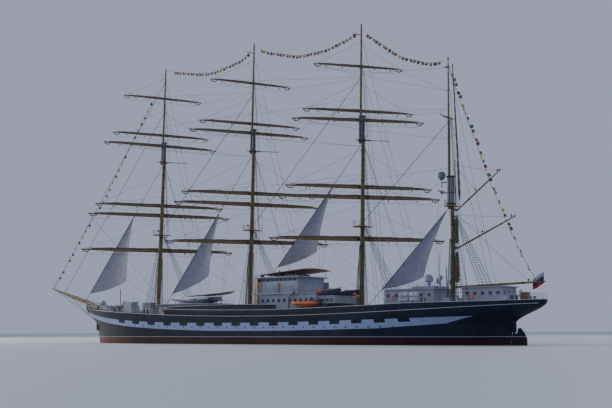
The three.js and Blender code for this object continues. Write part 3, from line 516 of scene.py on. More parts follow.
def coat(name, main, worn, scale, gloss, dirt=None, metallic=0.0):
    """Brushed paint or bare metal: two tones on broad noise, and dirt in fine noise."""
    paint = Paint(name, Metallic=metallic)
    broad = paint.noise(scale, 5)
    fine = paint.noise(scale * 9, 4)
    color = paint.mix(broad.ramp(0.35, 0.7), rgb(*main), rgb(*worn))
    if dirt:
        color = paint.mix(fine.ramp(0.55, 0.8) * 0.6, color, rgb(*dirt))
    paint.color(color).rough(gloss + fine * 0.18).bump(fine, 0.004, 0.3)
    return paint.material


def canvas_paint(name, main, shade, weave=40.0, seam_every=0.0, dirt=None):
    """Sailcloth: panels sewn edge to edge along the cloth, a fine weave, and soft creases.

    The weave's height is sin(2 pi weave u) * sin(2 pi weave v), and a seam is where u divided by
    the panel's width leaves less than 0.035."""
    paint = Paint(name, Roughness=0.9, Sheen_Weight=0.15)
    uv = paint.node("ShaderNodeUVMap", {"uv_map": "UVMap"}, {})
    u, v, _ = paint.axes(uv)
    crease = paint.noise(1.1, 5, (1.0, 1.0, 1.0), 0.6)
    color = paint.mix(crease.ramp(0.3, 0.75), rgb(*main), rgb(*shade))
    warp, weft = (paint.node("ShaderNodeMath", {"operation": "SINE"}, {0: t * weave * 6.28}) for t in (u, v))
    height = crease * 2 + (warp * weft) * 0.05
    if seam_every:
        seam = (u % seam_every) < 0.035
        color = paint.mix(seam * 0.55, color, rgb(*shade))
        height = height + seam * 0.4
    if dirt:
        color = paint.mix(paint.noise(4.0, 5).ramp(0.5, 0.8) * 0.5, color, rgb(*dirt))
    paint.color(color).bump(height, 0.02, 0.4)
    return paint.material


def glass_paint():
    """Dark window glass with a broad, soft reflection of sky in it."""
    paint = Paint("window_glass", Roughness=0.08, Metallic=0.0, Coat_Weight=0.6)
    sky = paint.noise(0.9, 3)
    paint.color(paint.mix(sky.ramp(0.4, 0.7), rgb(0.012, 0.016, 0.022), rgb(0.05, 0.065, 0.085)))
    return paint.material


PAINTS = []


def stock(material):
    """Keeps a paint on the shelf, and gives its number."""
    PAINTS.append(material)
    return len(PAINTS) - 1


HULL = stock(hull_paint())
PLANKS = stock(plank_paint())
COATS = [
    # name, main tone, worn tone, scale of the mottling, least roughness, dirt, metallic
    ("spar_ochre", (0.21, 0.14, 0.05), (0.145, 0.097, 0.037), 0.9, 0.55, (0.06, 0.05, 0.033)),
    ("white_paint", (0.31, 0.345, 0.44), (0.235, 0.26, 0.335), 0.7, 0.4, (0.16, 0.15, 0.15)),
    ("pale_trim", (0.50, 0.54, 0.64), (0.38, 0.41, 0.49), 0.7, 0.4),
    # warm tone of white paint in the sun: painted sunlight on the bridge's forward screens
    ("sunlit_white_screen", (0.62, 0.52, 0.36), (0.50, 0.42, 0.30), 0.9, 0.45),
    ("slate_paint", (0.075, 0.085, 0.11), (0.05, 0.057, 0.075), 1.2, 0.5),
    ("black_iron", (0.012, 0.013, 0.016), (0.03, 0.03, 0.033), 1.5, 0.5),
    ("grey_paint", (0.17, 0.19, 0.225), (0.12, 0.135, 0.16), 1.0, 0.5, (0.08, 0.07, 0.065)),
    ("tarred_wire", (0.012, 0.012, 0.013), (0.028, 0.026, 0.024), 3.0, 0.62),
    ("hemp_rope", (0.20, 0.17, 0.13), (0.13, 0.11, 0.085), 4.0, 0.8),
    ("bronze", (0.50, 0.33, 0.15), (0.34, 0.24, 0.12), 1.8, 0.3, (0.10, 0.12, 0.08), 0.9),
    ("orange_boat", (0.62, 0.13, 0.03), (0.48, 0.10, 0.03), 1.5, 0.38, (0.20, 0.08, 0.05)),
    ("varnished_teak", (0.25, 0.11, 0.04), (0.17, 0.075, 0.03), 2.5, 0.28),
]
SPAR, WHITE, TRIM, SUNLIT_WHITE, SLATE, BLACK, GREY, TAR, HEMP, BRONZE, ORANGE, VARNISH = (
    stock(coat(*row)) for row in COATS
)
CANVASES = [
    # name, main tone, shade, threads of the weave to a metre, width of a panel, dirt
    # staysail tones kept dark and blue-grey, standing for the shade the sails hang in: painted shade
    ("staysail_cloth", (0.25, 0.265, 0.35), (0.185, 0.197, 0.27), 90.0, 0.9),
    # furled sail tones kept dark olive, standing for the shade on top of the yards: painted shade
    ("furled_sail_cloth", (0.115, 0.105, 0.075), (0.06, 0.056, 0.042), 40.0, 0.0, (0.20, 0.185, 0.15)),
    ("boat_cover_cloth", (0.84, 0.86, 0.90), (0.58, 0.61, 0.68)),
    ("pale_awning_cloth", (0.50, 0.51, 0.54), (0.36, 0.37, 0.41)),
    ("navy_cover_cloth", (0.03, 0.045, 0.10), (0.02, 0.03, 0.07)),
    ("awning_cloth", (0.42, 0.20, 0.09), (0.30, 0.16, 0.09)),
]
SAILCLOTH, FURLED, COVER, PALE_AWNING, NAVY_CLOTH, AWNING = (
    stock(canvas_paint(*row)) for row in CANVASES
)
GLASS = stock(glass_paint())
# Each bunting colour is kept darker than the real cloth, for the shade the flags hang in: painted shade
FLAG_COLORS = {
    "white": (0.34, 0.35, 0.42), "blue": (0.012, 0.02, 0.10), "red": (0.30, 0.02, 0.035),
    "yellow": (0.40, 0.36, 0.03), "black": (0.012, 0.013, 0.018),
}
BUNTING = {
    name: stock(canvas_paint(f"bunting_{name}", tone, [0.7 * c for c in tone], 30.0))
    for name, tone in FLAG_COLORS.items()
}


# Hull form

def deck_height(x):
    """The sheer: DECK + 2.42 fore^2.1 + 1.4 aft^1.5, with fore and aft from 0 amidships to 1 at the ends."""
    x = np.asarray(x, float)
    fore, aft = np.maximum(MIDSHIPS - x, 0) / FORE_RUN, np.maximum(x - MIDSHIPS, 0) / AFT_RUN
    return DECK + 2.42 * fore**2.1 + 1.4 * aft**1.5


def deck_at(x):
    """The sheer's height at one x, as a plain number."""
    return float(deck_height(x))


def rail_height(x):
    """The rail: RAIL over the deck, and eased down by 0.55 * t^2 (3 - 2 t) along the poop."""
    t = np.clip((np.asarray(x, float) - POOP) / (TAFFRAIL - POOP), 0, 1)
    return deck_height(x) + RAIL - 0.55 * t * t * (3 - 2 * t)


def side_top(x):
    """Top of the side: a low bulwark round the bow, a toe rail along the forecastle, and then the rail."""
    deck = deck_height(x)
    return np.select([x < HEAD_END, x < BREAK_FORE], [deck + HEAD_RAIL, deck + 0.12], rail_height(x))


def outline(row, share, inset=0.0):
    """One waterplane: breadth * (1 - t^n)^(1/m), t running from the entrance to the stem and from
    the run to the stern."""
    _, stem, stern, half, entrance, n, m, run, n_run, m_run = row
    x = stem + inset + (stern - stem - 2 * inset) * share
    fore = np.clip((entrance - x) / (entrance - stem - inset), 0, 1)
    aft = np.clip((x - run) / (stern - inset - run), 0, 1)
    y = (half - inset) * (1 - fore ** n) ** (1 / m) * (1 - aft ** n_run) ** (1 / m_run)
    return x, y


def lines_at(z):
    """The columns of WATERPLANES at height z, by a cubic through the rows with even slopes."""
    rows = WATERPLANES
    heights = rows[:, 0]
    k = int(np.clip(np.searchsorted(heights, z) - 1, 0, len(rows) - 2))
    slope = np.gradient(rows, heights, axis=0)
    h = heights[k + 1] - heights[k]
    t = (z - heights[k]) / h
    values = 2 * t**3 - 3 * t**2 + 1, 3 * t**2 - 2 * t**3
    slopes = t**3 - 2 * t**2 + t, t**3 - t**2
    row = values[0] * rows[k] + slopes[0] * h * slope[k]
    row = row + values[1] * rows[k + 1] + slopes[1] * h * slope[k + 1]
    row[6], row[9] = max(row[6], 1.0), max(row[9], 1.0)
    row[3] = min(row[3], 7.0)
    return row


DECK_ROW, RAIL_ROW = WATERPLANES[-2], WATERPLANES[-1]


def deck_edge(x, row=DECK_ROW):
    """Half-breadth of a waterplane at x."""
    _, stem, stern = row[:3]
    return outline(row, (np.asarray(x, float) - stem) / (stern - stem))[1]


def stations():
    """Shares of the length, closer toward the ends and beside each break of the deck."""
    count, beside = 150, 0.0003
    start = STEM - 0.1
    even = (1 - np.cos(np.pi * np.arange(count + 1) / count)) / 2
    shares = [(x - start) / (TAFFRAIL - start) for x in (HEAD_END, BREAK_FORE, POOP)]
    breaks = [share + d for share in shares for d in (-beside, beside)]
    return np.sort(np.concatenate([even, breaks]))


def floor_height(x):
    """What one stands on: the forecastle, the planking of the well, or the poop level with its rail."""
    x = np.asarray(x, float)
    floor = np.where(x < BREAK_FORE, deck_height(x), deck_height(x) - WELL)
    return np.where(x > POOP, rail_height(x) - 0.02, floor)


def floor_at(x):
    """The floor's height at one x, as a plain number."""
    return float(floor_height(x))


def sternpost():
    """The post and heel that carry the rudder, and the boss of its trunk: level sections whose aft
    edge leans with the rudder's."""
    fore_edge, foot = 44.3, KEEL + 0.25
    z = np.array([foot, -3.2, 0.1, 1.0, 1.3, 1.8])
    edge = np.interp(z, [0.1, 1.0, 1.3, 1.8], [45.13, 45.48, 45.58, 45.63])
    wide = np.interp(z, [0.1, 1.8], [0.12, 0.2])
    front = np.full(len(z), fore_edge)
    x = stacked(front, edge, edge, front)
    y = stacked(wide, wide, -wide, -wide)
    heel = boxes([44.0, -0.15, KEEL], [46.3, 0.15, foot])
    boss = rods([[RUDDER["stock"], 0, 1.95]], [[RUDDER["stock"], 0, 3.7]], 2 * RUDDER["radius"], 24)
    return joined(heel, boss, capped(stacked(x, y, z[:, None])))


def make_hull():
    """Waterplanes from the keel to the rail, then over the rail and down to the decks; the grid
    runs along the ship one way and round a half section the other, and is mirrored."""
    share = stations()
    rows_z = WATERPLANES[:-1, 0]
    spans = zip(rows_z[:-1], rows_z[1:])
    heights = np.concatenate([np.linspace(low, high, 6, endpoint=False) for low, high in spans])
    columns = []
    for z in heights:
        x, y = outline(lines_at(z), share)
        lift = (deck_height(x) - DECK) * (max(z, 0) / DECK) ** 2
        columns.append(stacked(x, y, z + lift))
    keel = columns[0] * (1, 0, 1)
    x, y = outline(RAIL_ROW, share)
    top = side_top(x)
    x_deck, y_deck = outline(DECK_ROW, share)
    for part in (0.0, 0.5, 0.96, 1.0):
        z = deck_height(x_deck) + part * (top - deck_height(x))
        rounding = 0.02 if part == 1.0 else 0.0
        wide = y_deck + (y - y_deck) * part
        columns.append(stacked(x_deck + (x - x_deck) * part, wide - rounding * (y > rounding), z))
    x_in, y_in = outline(RAIL_ROW, share, WALL)
    columns.append(stacked(x_in, y_in, side_top(x_in)))
    inner = len(columns) - 1
    for part in (1.0, 0.75, 0.5, 0.25, 0.0):
        columns.append(stacked(x_in, y_in * part, floor_height(x_in)))
    grid = np.stack([keel] + columns, axis=1)
    port = skin(grid * (1, -1, 1))
    quads = port.faces[0].reshape(len(share) - 1, grid.shape[1] - 1, 4)
    side, cap = quads[:, :inner], quads[:, inner:inner + 1]
    bulwark, deck = quads[:, inner + 1:inner + 2], quads[:, inner + 2:]
    faces = [part.reshape(-1, 4) for part in (side, cap, bulwark, deck)]
    half = Shape(port.points, faces, [HULL, VARNISH, WHITE, PLANKS])
    piece = joined(both(half), sternpost())
    return make("hull_shell", piece, HULL, stands_for=["hull"], angle=40, merge=0.004)


def side_path(x, z, out=0.0, row=DECK_ROW):
    """Points along the port side at heights z."""
    return stacked(x, -(deck_edge(x, row) + out), z)


def make_mouldings():
    """White half-round mouldings along the deck edge and the rail, and a black cap round the bow."""
    x = np.linspace(-46.0, 50.6, 160)
    deck_line = tubes(side_path(x, deck_height(x) + 0.02), np.interp(x, [-46.0, -40.0], [0.02, 0.04]), 8)
    x = np.linspace(BREAK_FORE + 0.05, 50.7, 120)
    rail_line = tubes(side_path(x, rail_height(x) + 0.01, -0.02, RAIL_ROW), 0.045, 8)
    x = STEM + 0.05 + (HEAD_END - STEM) * np.linspace(0, 1, 60) ** 1.5
    cap = tubes(side_path(x, deck_height(x) + HEAD_RAIL, -0.08, RAIL_ROW), 0.1, 8).painted(BLACK)
    make("side_mouldings", both(joined(deck_line, rail_line, cap)), TRIM)


# Rudder

RUDDER = {
    "stock": 45.9, "radius": 0.2, "head": 3.3,
    # side view of the blade: fore and aft edge at each height
    "rows": [
        (-6.147, 45.2, 47.6), (-5.6, 45.2, 48.0), (0.1, 45.2, 48.0), (1.0, 45.55, 48.0),
        (1.3, 45.65, 47.87), (1.8, 45.9, 47.65), (1.81, 46.4, 47.64), (2.6, 46.55, 47.05),
    ],
}


def make_rudder():
    """Level sections of a foil, nose to tail round both faces, stacked from the heel to the sloping head.

    With reach from 0 at the nose to 1 at the tail, a face stands out by
    0.405 * (reach + 0.05)^0.5 * (1 - reach)^0.9, and by less close to the nose."""
    low, stock, radius = RUDDER["rows"][0][0], RUDDER["stock"], RUDDER["radius"]
    nose, chord = 45.2, 2.8
    z, front, back = np.array(RUDDER["rows"]).T
    levels = np.unique(np.concatenate([np.linspace(low, z[-1], 70), z]))
    front, back = np.interp(levels, z, front)[:, None], np.interp(levels, z, back)[:, None]
    t = (1 - np.cos(np.linspace(0, np.pi, 17))) / 2
    t = np.concatenate([t, t[-2:0:-1]])
    side = np.concatenate([np.ones(17), -np.ones(15)])
    x = front + (back - front) * t
    reach = np.clip((x - nose) / chord, 0, 1)
    y = side * 0.27 * 1.5 * (reach + 0.05) ** 0.5 * (1 - reach) ** 0.9
    y = side * np.minimum(np.abs(y), 0.5 * (x - front + 0.02)) * (t < 1)
    blade = capped(stacked(x, y, levels[:, None]))
    post = rods([[stock, 0, 0.8]], [[stock, 0, RUDDER["head"]]], radius, 20)
    strap_z = (-4.6, -2.2, 0.2)
    straps = boxes([[45.3, -0.24, v] for v in strap_z], [[46.6, 0.24, v + 0.16] for v in strap_z])
    make("rudder_blade", joined(blade, post, straps), HULL, "rudder", ["rudder"])


# Frames of the leaning masts and of the yards

def lean(mast):
    """Origin and axes of a mast's own frame: aft, starboard and up along the mast."""
    x, rake = MASTS[mast][:2]
    cosine, sine = math.cos(math.radians(rake)), math.sin(math.radians(rake))
    return np.array([x, 0, FOOT]), np.array([[cosine, 0, -sine], [0, 1, 0], [sine, 0, cosine]])


def on_mast(mast, z, aft=0.0, side=0.0):
    """A point beside a mast's axis at height z."""
    x, rake = MASTS[mast][:2]
    return np.array([x + (z - FOOT) * math.tan(math.radians(rake)) + aft, side, z])


def fan(mast, z, aft, step, side, count=3, spread=0.0):
    """Points at one height of a mast, each a step further aft and a spread further out than the last."""
    return np.array([on_mast(mast, z, aft + step * i, side + spread * i) for i in range(count)])


def jigger_place(name):
    """Origin and axes of the boom or of a gaff: its joint, and the jigger mast's own axes."""
    _, axes = lean("jigger")
    return np.array(JOINTS[name]["pos_m"]) / M, axes


JOINTS = {joint["child"]: joint for joint in frame["joints"]}


def yard_frame(mast, yard):
    """Origin and axes of a yard's own frame at rest, braced round from square by its joint's range."""
    joint = JOINTS[f"{mast}_{yard}_yard"]
    brace = math.radians(joint["range_deg"][0] + SHARP)
    _, axes = lean(mast)
    aft = math.cos(brace) * axes[0] - math.sin(brace) * axes[1]
    starboard = math.sin(brace) * axes[0] + math.cos(brace) * axes[1]
    return np.array(joint["pos_m"]) / M, np.array([aft, starboard, axes[2]])


# Masts

def tongue(root, pivot, low, high):
    """A flat plate with a round end about the pivot."""
    side = math.copysign(1, pivot - root)
    half = TRUSS["half"]
    angle = np.linspace(-np.pi / 2, np.pi / 2, 7)
    nose = stacked(pivot + side * half * np.cos(angle), half * np.sin(angle))
    return plate(np.concatenate([[[root, -half]], nose, [[root, half]]]), low, high)


def plate(rim, low, high):
    """A flat outline in x and y given a thickness from low to high."""
    rim = np.asarray(rim, float)
    after = np.roll(rim, -1, axis=0)
    if np.sum(rim[:, 0] * after[:, 1] - after[:, 0] * rim[:, 1]) < 0:
        rim = rim[::-1]
    count = len(rim)
    points = np.concatenate([np.c_[rim, np.full(count, low)], np.c_[rim, np.full(count, high)]])
    index = np.arange(count)
    side = stacked(index, np.roll(index, -1), np.roll(index, -1) + count, index + count)
    return Shape(points, [side, index[None, ::-1], index[None] + count])


def hoops(x, levels, radius, height):
    """Iron bands round a spar that stands on the Z axis at x."""
    low = np.array([[x, 0, z] for z in levels])
    return turned(low, low + (0, 0, height), [(0, radius), (1, radius)], 20).painted(BLACK)


def top_platform(z, half, aft):
    """A mast top: a half round ahead of the mast and square abaft it, with stanchions and two rails."""
    angle = np.linspace(np.pi / 2, 3 * np.pi / 2, 17)
    nose = stacked(half * np.cos(angle), half * np.sin(angle))
    rim = np.concatenate([nose, [[aft, -half], [aft, half]]])
    deck = plate(rim, z, z + 0.12)
    posts = np.concatenate([rim[2:15:3], rim[-2:]]) * 0.97
    low = np.c_[posts, np.full(len(posts), z + 0.12)]
    stanchions = rods(low, low + (0, 0, 0.9), 0.025, 6)
    rails = [tubes(np.c_[rim[1:16] * 0.97, np.full(15, z + h)], 0.02, 6) for h in (0.6, 1.0)]
    return joined(deck, joined(stanchions, *rails).painted(BLACK))


def crosstrees(z, reach, spread):
    """Two beams fore and aft, two bars across them, and a horn that spreads the backstays on each side."""
    sides, bar_x = (-1, 1), (-0.55, 0.45)
    low = np.array([[-0.9, s * 0.34 - 0.06, z - 0.16] for s in sides])
    beams = boxes(low, low + (1.8, 0.12, 0.16))
    bars = boxes([[x, -spread, z - 0.1] for x in bar_x], [[x + 0.14, spread, z] for x in bar_x])
    level = z - 0.04
    horns = rods([[0.5, s * 0.5, level] for s in sides], [[reach, s * 3.4, level] for s in sides], 0.06, 8)
    return joined(beams, bars, horns).painted(BLACK)


def square_mast(mast):
    """A lower mast and a topgallant mast ahead of it, held by a cap, with a pole at the truck, bands,
    a top, crosstrees and the cheeks of six yards; turned bodies about the mast's leaning axis."""
    top, cross, cap, truck = (z - FOOT for z in MASTS[mast][2:])
    ahead = 0.52
    foot = deck_foot(mast)
    lower = turned([0, 0, foot], [0, 0, cap], [(0, 0.42), (0.45, 0.39), (1, 0.29)], 24)
    upper_profile = [(0, 0.23), (0.6, 0.19), (1, 0.15)]
    upper = turned([-ahead, 0, cross - 0.6], [-ahead, 0, truck - 1.6], upper_profile, 20)
    pole_profile = [(0, 0.14), (0.9, 0.11), (0.9, 0.15), (0.96, 0.16), (1, 0.1)]
    pole = turned([-ahead, 0, truck - 1.65], [-ahead, 0, truck], pole_profile, 16).painted(BLACK)
    doubling_foot = [[0, 0, cross + 0.05], [-ahead, 0, cross - 0.5]]
    doubling_head = [[0, 0, cap - 0.35], [-ahead, 0, cap - 0.3]]
    doubling = turned(doubling_foot, doubling_head, [(0, 0.325), (1, 0.305)], 20).painted(SLATE)
    bands = joined(
        hoops(0, np.arange(foot + 2.0, cross - 1.0, 2.6), 0.415, 0.09),
        hoops(-ahead, np.arange(cap + 1.2, truck - 1, 2.4), 0.2, 0.07),
    )
    caps = boxes([[-ahead - 0.25, -0.3, cap - 0.35], [-ahead - 0.25, -0.3, cross - 0.4]],
                 [[0.33, 0.3, cap - 0.05], [0.3, 0.3, cross - 0.1]]).painted(BLACK)
    cheeks = []
    for yard, (_, _, pivot, _, _) in YARDS.items():
        z = joint_height(mast, f"{mast}_{yard}_yard")
        root = ahead if pivot > PIVOT_ON_TOPMAST and z > LOWER_MAST_TOP else 0.1
        for low, high in cheek_levels(z):
            cheeks.append(tongue(-root, -pivot, low, high).painted(BLACK))
    trees = crosstrees(cross, 3.2, 1.5)
    parts = [lower, upper, pole, doubling, bands, caps, top_platform(top, 1.7, 1.1), trees]
    if mast != "fore":
        parts.append(rods([-2.4, 0, truck - 1.4], [-0.3, 0, truck - 2.0], 0.07, 8).painted(BLACK))
    return joined(*parts, *cheeks)


def joint_height(mast, child):
    """Height of a joint's pivot in its mast's own frame."""
    origin, axes = lean(mast)
    return float(axes[2] @ (np.array(JOINTS[child]["pos_m"]) / M - origin))


def cheek_levels(z):
    """Low and high side of the two cheeks that a truss at height z turns between."""
    inner = TRUSS["height"] / 2 + GAP
    return [(z + inner, z + inner + TRUSS["cheek"]), (z - inner - TRUSS["cheek"], z - inner)]


def deck_foot(mast):
    """Where a mast comes through the deck, in its own frame."""
    return floor_at(MASTS[mast][0]) - FOOT


def jigger_mast():
    """The jigger: a lower mast and a topmast ahead of it, with a top, a spreader, an aerial pole and
    the goosenecks of the boom and the gaffs."""
    mast = "jigger"
    _, cross, cap, truck = (z - FOOT for z in MASTS[mast][2:])
    foot, trees, ahead = deck_foot(mast), JIGGER_TREES - FOOT, 0.55
    lower = turned([0, 0, foot], [0, 0, cap], [(0, 0.38), (1, 0.3)], 24)
    profile = [(0, 0.23), (0.55, 0.18), (0.985, 0.09), (0.985, 0.14), (0.993, 0.16), (1, 0.1)]
    upper = turned([-ahead, 0, cross - 0.4], [-ahead, 0, truck], profile, 20)
    bands = joined(hoops(0, np.arange(foot + 2.0, cap - 1, 2.6), 0.4, 0.09),
                   hoops(-ahead, np.arange(cap + 1.2, truck - 1, 2.6), 0.21, 0.07))
    levels = (cross + 0.3, cap - 0.3)
    caps = boxes([[-0.85, -0.36, z] for z in levels], [[0.36, 0.36, z + 0.25] for z in levels])
    doubling = turned([[0, 0, cross + 0.2], [-ahead, 0, cross + 0.2]], [[0, 0, cap], [-ahead, 0, cap]],
                      [(0, 0.34), (1, 0.31)], 20).painted(GREY)
    spread = boxes([-0.75, -1.4, trees], [-0.35, 1.4, trees + 0.12]).painted(BLACK)
    strut = rods([-0.6, 0, trees], [-2.1, 0, trees + 0.9], 0.07, 8).painted(BLACK)
    necks = []
    for heel, _, _, _, pivot in GAFFS.values():
        for low, high in cheek_levels(heel - FOOT):
            necks.append(tongue(0.05, pivot, low, high).painted(BLACK))
    bracket = boxes([-1.15, -0.05, truck - 1.75], [-0.4, 0.05, truck - 1.5]).painted(BLACK)
    pole = rods([0.62, 0, cross + 0.1], [0.5, 0, cross + 7.5], 0.06, 8).painted(BLACK)
    platform = top_platform(cross, 1.3, 0.55)
    low_parts = [lower, upper, bands, caps.painted(BLACK), doubling, spread, strut]
    return joined(*low_parts, *necks, bracket, pole, platform)


def make_masts():
    """Each mast, made in its own frame and put in place with its rake."""
    for mast in MASTS:
        shape = jigger_mast() if mast == "jigger" else square_mast(mast)
        make(f"{mast}_mast_spars", shape.placed(*lean(mast)), SPAR, "root", [f"{mast}_mast"])


# Yards

def furled(half, radius, lift, forward, seed):
    """A furled sail: a roll along the yard, cinched by its gaskets and lumpy between them.

    The radius is r * (1 - 0.2 c) * taper * (1 + small waves), where c is 1 at each gasket."""
    steps, sides = 120, 20
    rng = np.random.default_rng(seed)
    y = np.linspace(-0.9 * half, 0.9 * half, steps)
    angle = np.linspace(0, 2 * np.pi, sides, endpoint=False)
    every = 1.25
    cinch = np.exp(-((((y + every / 2) % every) - every / 2) / 0.13) ** 2)
    taper = np.clip((1 - (np.abs(y) / (0.93 * half)) ** 6), 0.1, 1) * (1 - 0.3 * (np.abs(y) / half) ** 2)
    phase = rng.uniform(0, 6.28, 4)
    lumps = 0.06 * np.sin(2.1 * y + phase[0]) + 0.05 * np.sin(5.3 * y + phase[1])
    folds = 0.05 * np.sin(3 * angle[None] + 1.7 * y[:, None] + phase[2])
    folds = folds + 0.04 * np.sin(7 * angle[None] - 3.1 * y[:, None])
    size = radius * ((1 - 0.2 * cinch) * taper * (1 + lumps))[:, None] * (1 + folds)
    bunt = 0.25 * radius * np.exp(-(y / 1.8) ** 2)
    x = -forward + (size * np.cos(angle)) * 0.95
    z = lift + bunt[:, None] + size * np.sin(angle)
    roll = capped(stacked(x, y[:, None], z), stacked(y[:, None], angle * radius))
    nearest = y[np.argmin(np.abs(y[:, None] - np.arange(-7, 8)[None] * every), axis=0)]
    return roll, np.unique(nearest[np.abs(nearest) < 0.85 * half])


def make_yard(mast, yard, seed):
    """A yard with its truss, bands and jackstay, its furled sail with gaskets, and its gear.

    The radius is r * (1 - 0.58 e^1.5), where e runs from 0 at 0.12 of the half-length to 1 at the end."""
    half, radius, _, ahead, roll_radius = YARDS[yard]
    shares = np.linspace(0, 1, 25)
    t = np.abs(2 * shares - 1)
    thick = radius * (1 - 0.58 * np.clip((t - 0.12) / 0.88, 0, 1) ** 1.5)
    body = turned([-ahead, -half, 0], [-ahead, half, 0], np.c_[shares, thick], 18)
    reach, sides = TRUSS["height"] / 2, (-1, 1)
    truss = tongue(-ahead, 0, -reach, reach).painted(BLACK)
    end = 0.46 * radius
    ends = turned([[-ahead, s * half * 0.985, 0] for s in sides], [[-ahead, s * half, 0] for s in sides],
                  [(0, end), (1, end)], 14).painted(BLACK)
    bands_y = np.array([-0.8, -0.6, -0.3, 0.3, 0.6, 0.8]) * half
    band_r = np.interp(np.abs(bands_y) / half, t[12:], thick[12:]) * 1.06
    bands = []
    for y, r in zip(bands_y, band_r):
        bands.append(rods([-ahead, y - 0.06, 0], [-ahead, y + 0.06, 0], r, 14).painted(BLACK))
    stay_z = radius * 1.05
    jackstay = rods([-ahead, -0.93 * half, stay_z], [-ahead, 0.93 * half, stay_z], 0.02, 6)
    eye_y = half * 0.945
    eyes = boxes([[-ahead - 0.05, s * eye_y - 0.04, -0.46] for s in sides],
                 [[-ahead + 0.05, s * eye_y + 0.04, -0.05] for s in sides])
    spar = joined(body, truss, ends, *bands, jackstay.painted(BLACK), eyes.painted(BLACK))
    place = yard_frame(mast, yard)
    name = f"{mast}_{yard}_yard"
    make(f"{name}_spar", spar.placed(*place), SPAR, name, [name])
    lift = 0.9 * radius
    roll, gasket_y = furled(half, roll_radius, lift, ahead + radius * 0.25, seed)
    angle = np.linspace(0, 2 * np.pi, 17)
    loop_x = -ahead + 0.95 * (radius + 0.03) * np.cos(angle)
    loop_z = lift / 2 + (radius + lift / 2 + 0.04) * np.sin(angle)
    loops = np.stack([stacked(loop_x, y, loop_z) for y in gasket_y])
    sail = joined(roll, tubes(loops, 0.022, 5).painted(HEMP))
    make(f"{name}_furled_sail", sail.placed(*place), FURLED, name)
    make(f"{name}_gear", yard_gear(half, radius, ahead, yard).placed(*place), TAR, name)


LIFTS = {
    # name: how far over the yard its lifts meet the mast; the other yards have none
    "course": 5.8, "upper_topsail": 6.5, "upper_topgallant": 5.0, "royal": 4.2,
}


def yard_gear(half, radius, ahead, yard):
    """Footropes with stirrups under the yard, lifts up to the yard's own axis, blocks and end loops."""
    stirrup = np.linspace(-0.9, 0.9, 9) * half
    drop = 0.85
    pairs = stacked(stirrup[:-1], stirrup[1:])
    t = np.linspace(0, 1, 7)
    y = pairs[:, :1] + (pairs[:, 1:] - pairs[:, :1]) * t
    z = -drop + 0.25 * (np.abs(2 * t - 1) ** 2) - 0.12
    foot = stacked(-ahead + 0.28, y, z)
    low = np.array([[-ahead + 0.28, v, -drop + 0.13] for v in stirrup])
    high = np.array([[-ahead + 0.1, v, 0.0] for v in stirrup])
    parts = [tubes(foot, 0.022, 5), rods(low, high, 0.016, 5)]
    if yard in LIFTS:
        ends = [[-ahead, s * half * 0.94, 0.05] for s in (-1, 1)]
        parts.append(rods(ends, [[-0.05, s * 0.05, LIFTS[yard]] for s in (-1, 1)], 0.022, 5))
    blocks_y = np.array([-0.72, -0.36, 0.36, 0.72]) * half
    foot, head = ([[-ahead, y, -radius - under] for y in blocks_y] for under in (0.32, 0.02))
    parts.append(turned(foot, head, [(0, 0.05), (0.3, 0.11), (0.7, 0.11), (1, 0.03)], 8))
    t = np.linspace(0, 1, 13)
    sag = -0.05 - 0.42 * np.sin(np.pi * t) ** 0.6
    loop = stacked(-ahead, 0.985 * half - 1.25 * t, sag)
    return joined(*parts, both(tubes(loop, 0.07, 8)))


def make_yards():
    """Six yards on each square-rigged mast, with a seed each for the folds of its sail."""
    for i, mast in enumerate(("fore", "main", "mizzen")):
        for j, yard in enumerate(YARDS):
            make_yard(mast, yard, 10 * i + j)


def make_gaffs():
    """The boom and the gaffs: a jaw at the pivot and a spar that tapers to both ends, with bands."""
    heel_x = 0.35
    reach = TRUSS["height"] / 2
    for name, (heel, peak_x, peak_z, radius, pivot) in GAFFS.items():
        jaw = tongue(0.5, 0, -reach, reach).painted(BLACK)
        shares = np.linspace(0, 1, 13)
        thick = radius * np.interp(shares, [0, 0.3, 0.8, 1], [0.8, 1, 0.8, 0.5])
        out, up = peak_x - pivot, peak_z - heel
        body = turned([heel_x, 0, 0], [out, 0, up], np.c_[shares, thick], 16)
        ring = np.array([[heel_x + (out - heel_x) * s, 0, up * s] for s in (0.25, 0.5, 0.75, 0.97)])
        along = unit(np.array([out, 0, up], float))
        bands = rods(ring, ring + along * 0.12, radius * 1.06, 14).painted(BLACK)
        spar = joined(jaw, body, bands).placed(*jigger_place(name))
        make(f"{name}_spar", spar, SPAR, name, [name])


# Sails

STAYS = {
    # name: mast, z on that mast, how far abaft its axis, lower end, or None for one on the
    # bowsprit at the share of its length that comes last
    "fore_topmast_stay": ("fore", 36.1, 0.0, None, 0.27),
    "fore_topgallant_stay": ("fore", 47.0, -0.3, None, 0.72),
    "fore_royal_stay": ("fore", 53.5, -0.3, None, 0.97),
    "main_topmast_stay": ("main", 35.6, 0.0, (-29.7, 0, 5.95), 0),
    "mizzen_topmast_stay": ("mizzen", 34.6, 0.0, (-5.8, 0, 7.4), 0),
    "jigger_stay": ("jigger", 22.2, -0.3, (18.9, 0, 5.7), 0),
}
SPRIT_HEEL, SPRIT_TIP = np.array([-48.6, 0, 7.55]), np.array([-64.1, 0, 11.85])
SAILS = {
    # name: stay, tack z, head z, clew x, clew z
    "fore_topmast_staysail": ("fore_topmast_stay", 10.4, 25.7, -40.2, 12.7),
    "main_topmast_staysail": ("main_topmast_stay", 9.7, 24.9, -16.9, 13.0),
    "mizzen_topmast_staysail": ("mizzen_topmast_stay", 13.8, 27.2, 8.9, 16.2),
    "jigger_staysail": ("jigger_stay", 9.2, 21.3, 30.4, 10.9),
}


def on_sprit(share):
    """A point of the bowsprit's axis at a share of its length."""
    return SPRIT_HEEL + (SPRIT_TIP - SPRIT_HEEL) * share


def stay_ends(name):
    """Lower and upper end of a stay."""
    mast, z, aft, foot, share = STAYS[name]
    return np.array(foot, float) if foot else on_sprit(share), on_mast(mast, z, aft)


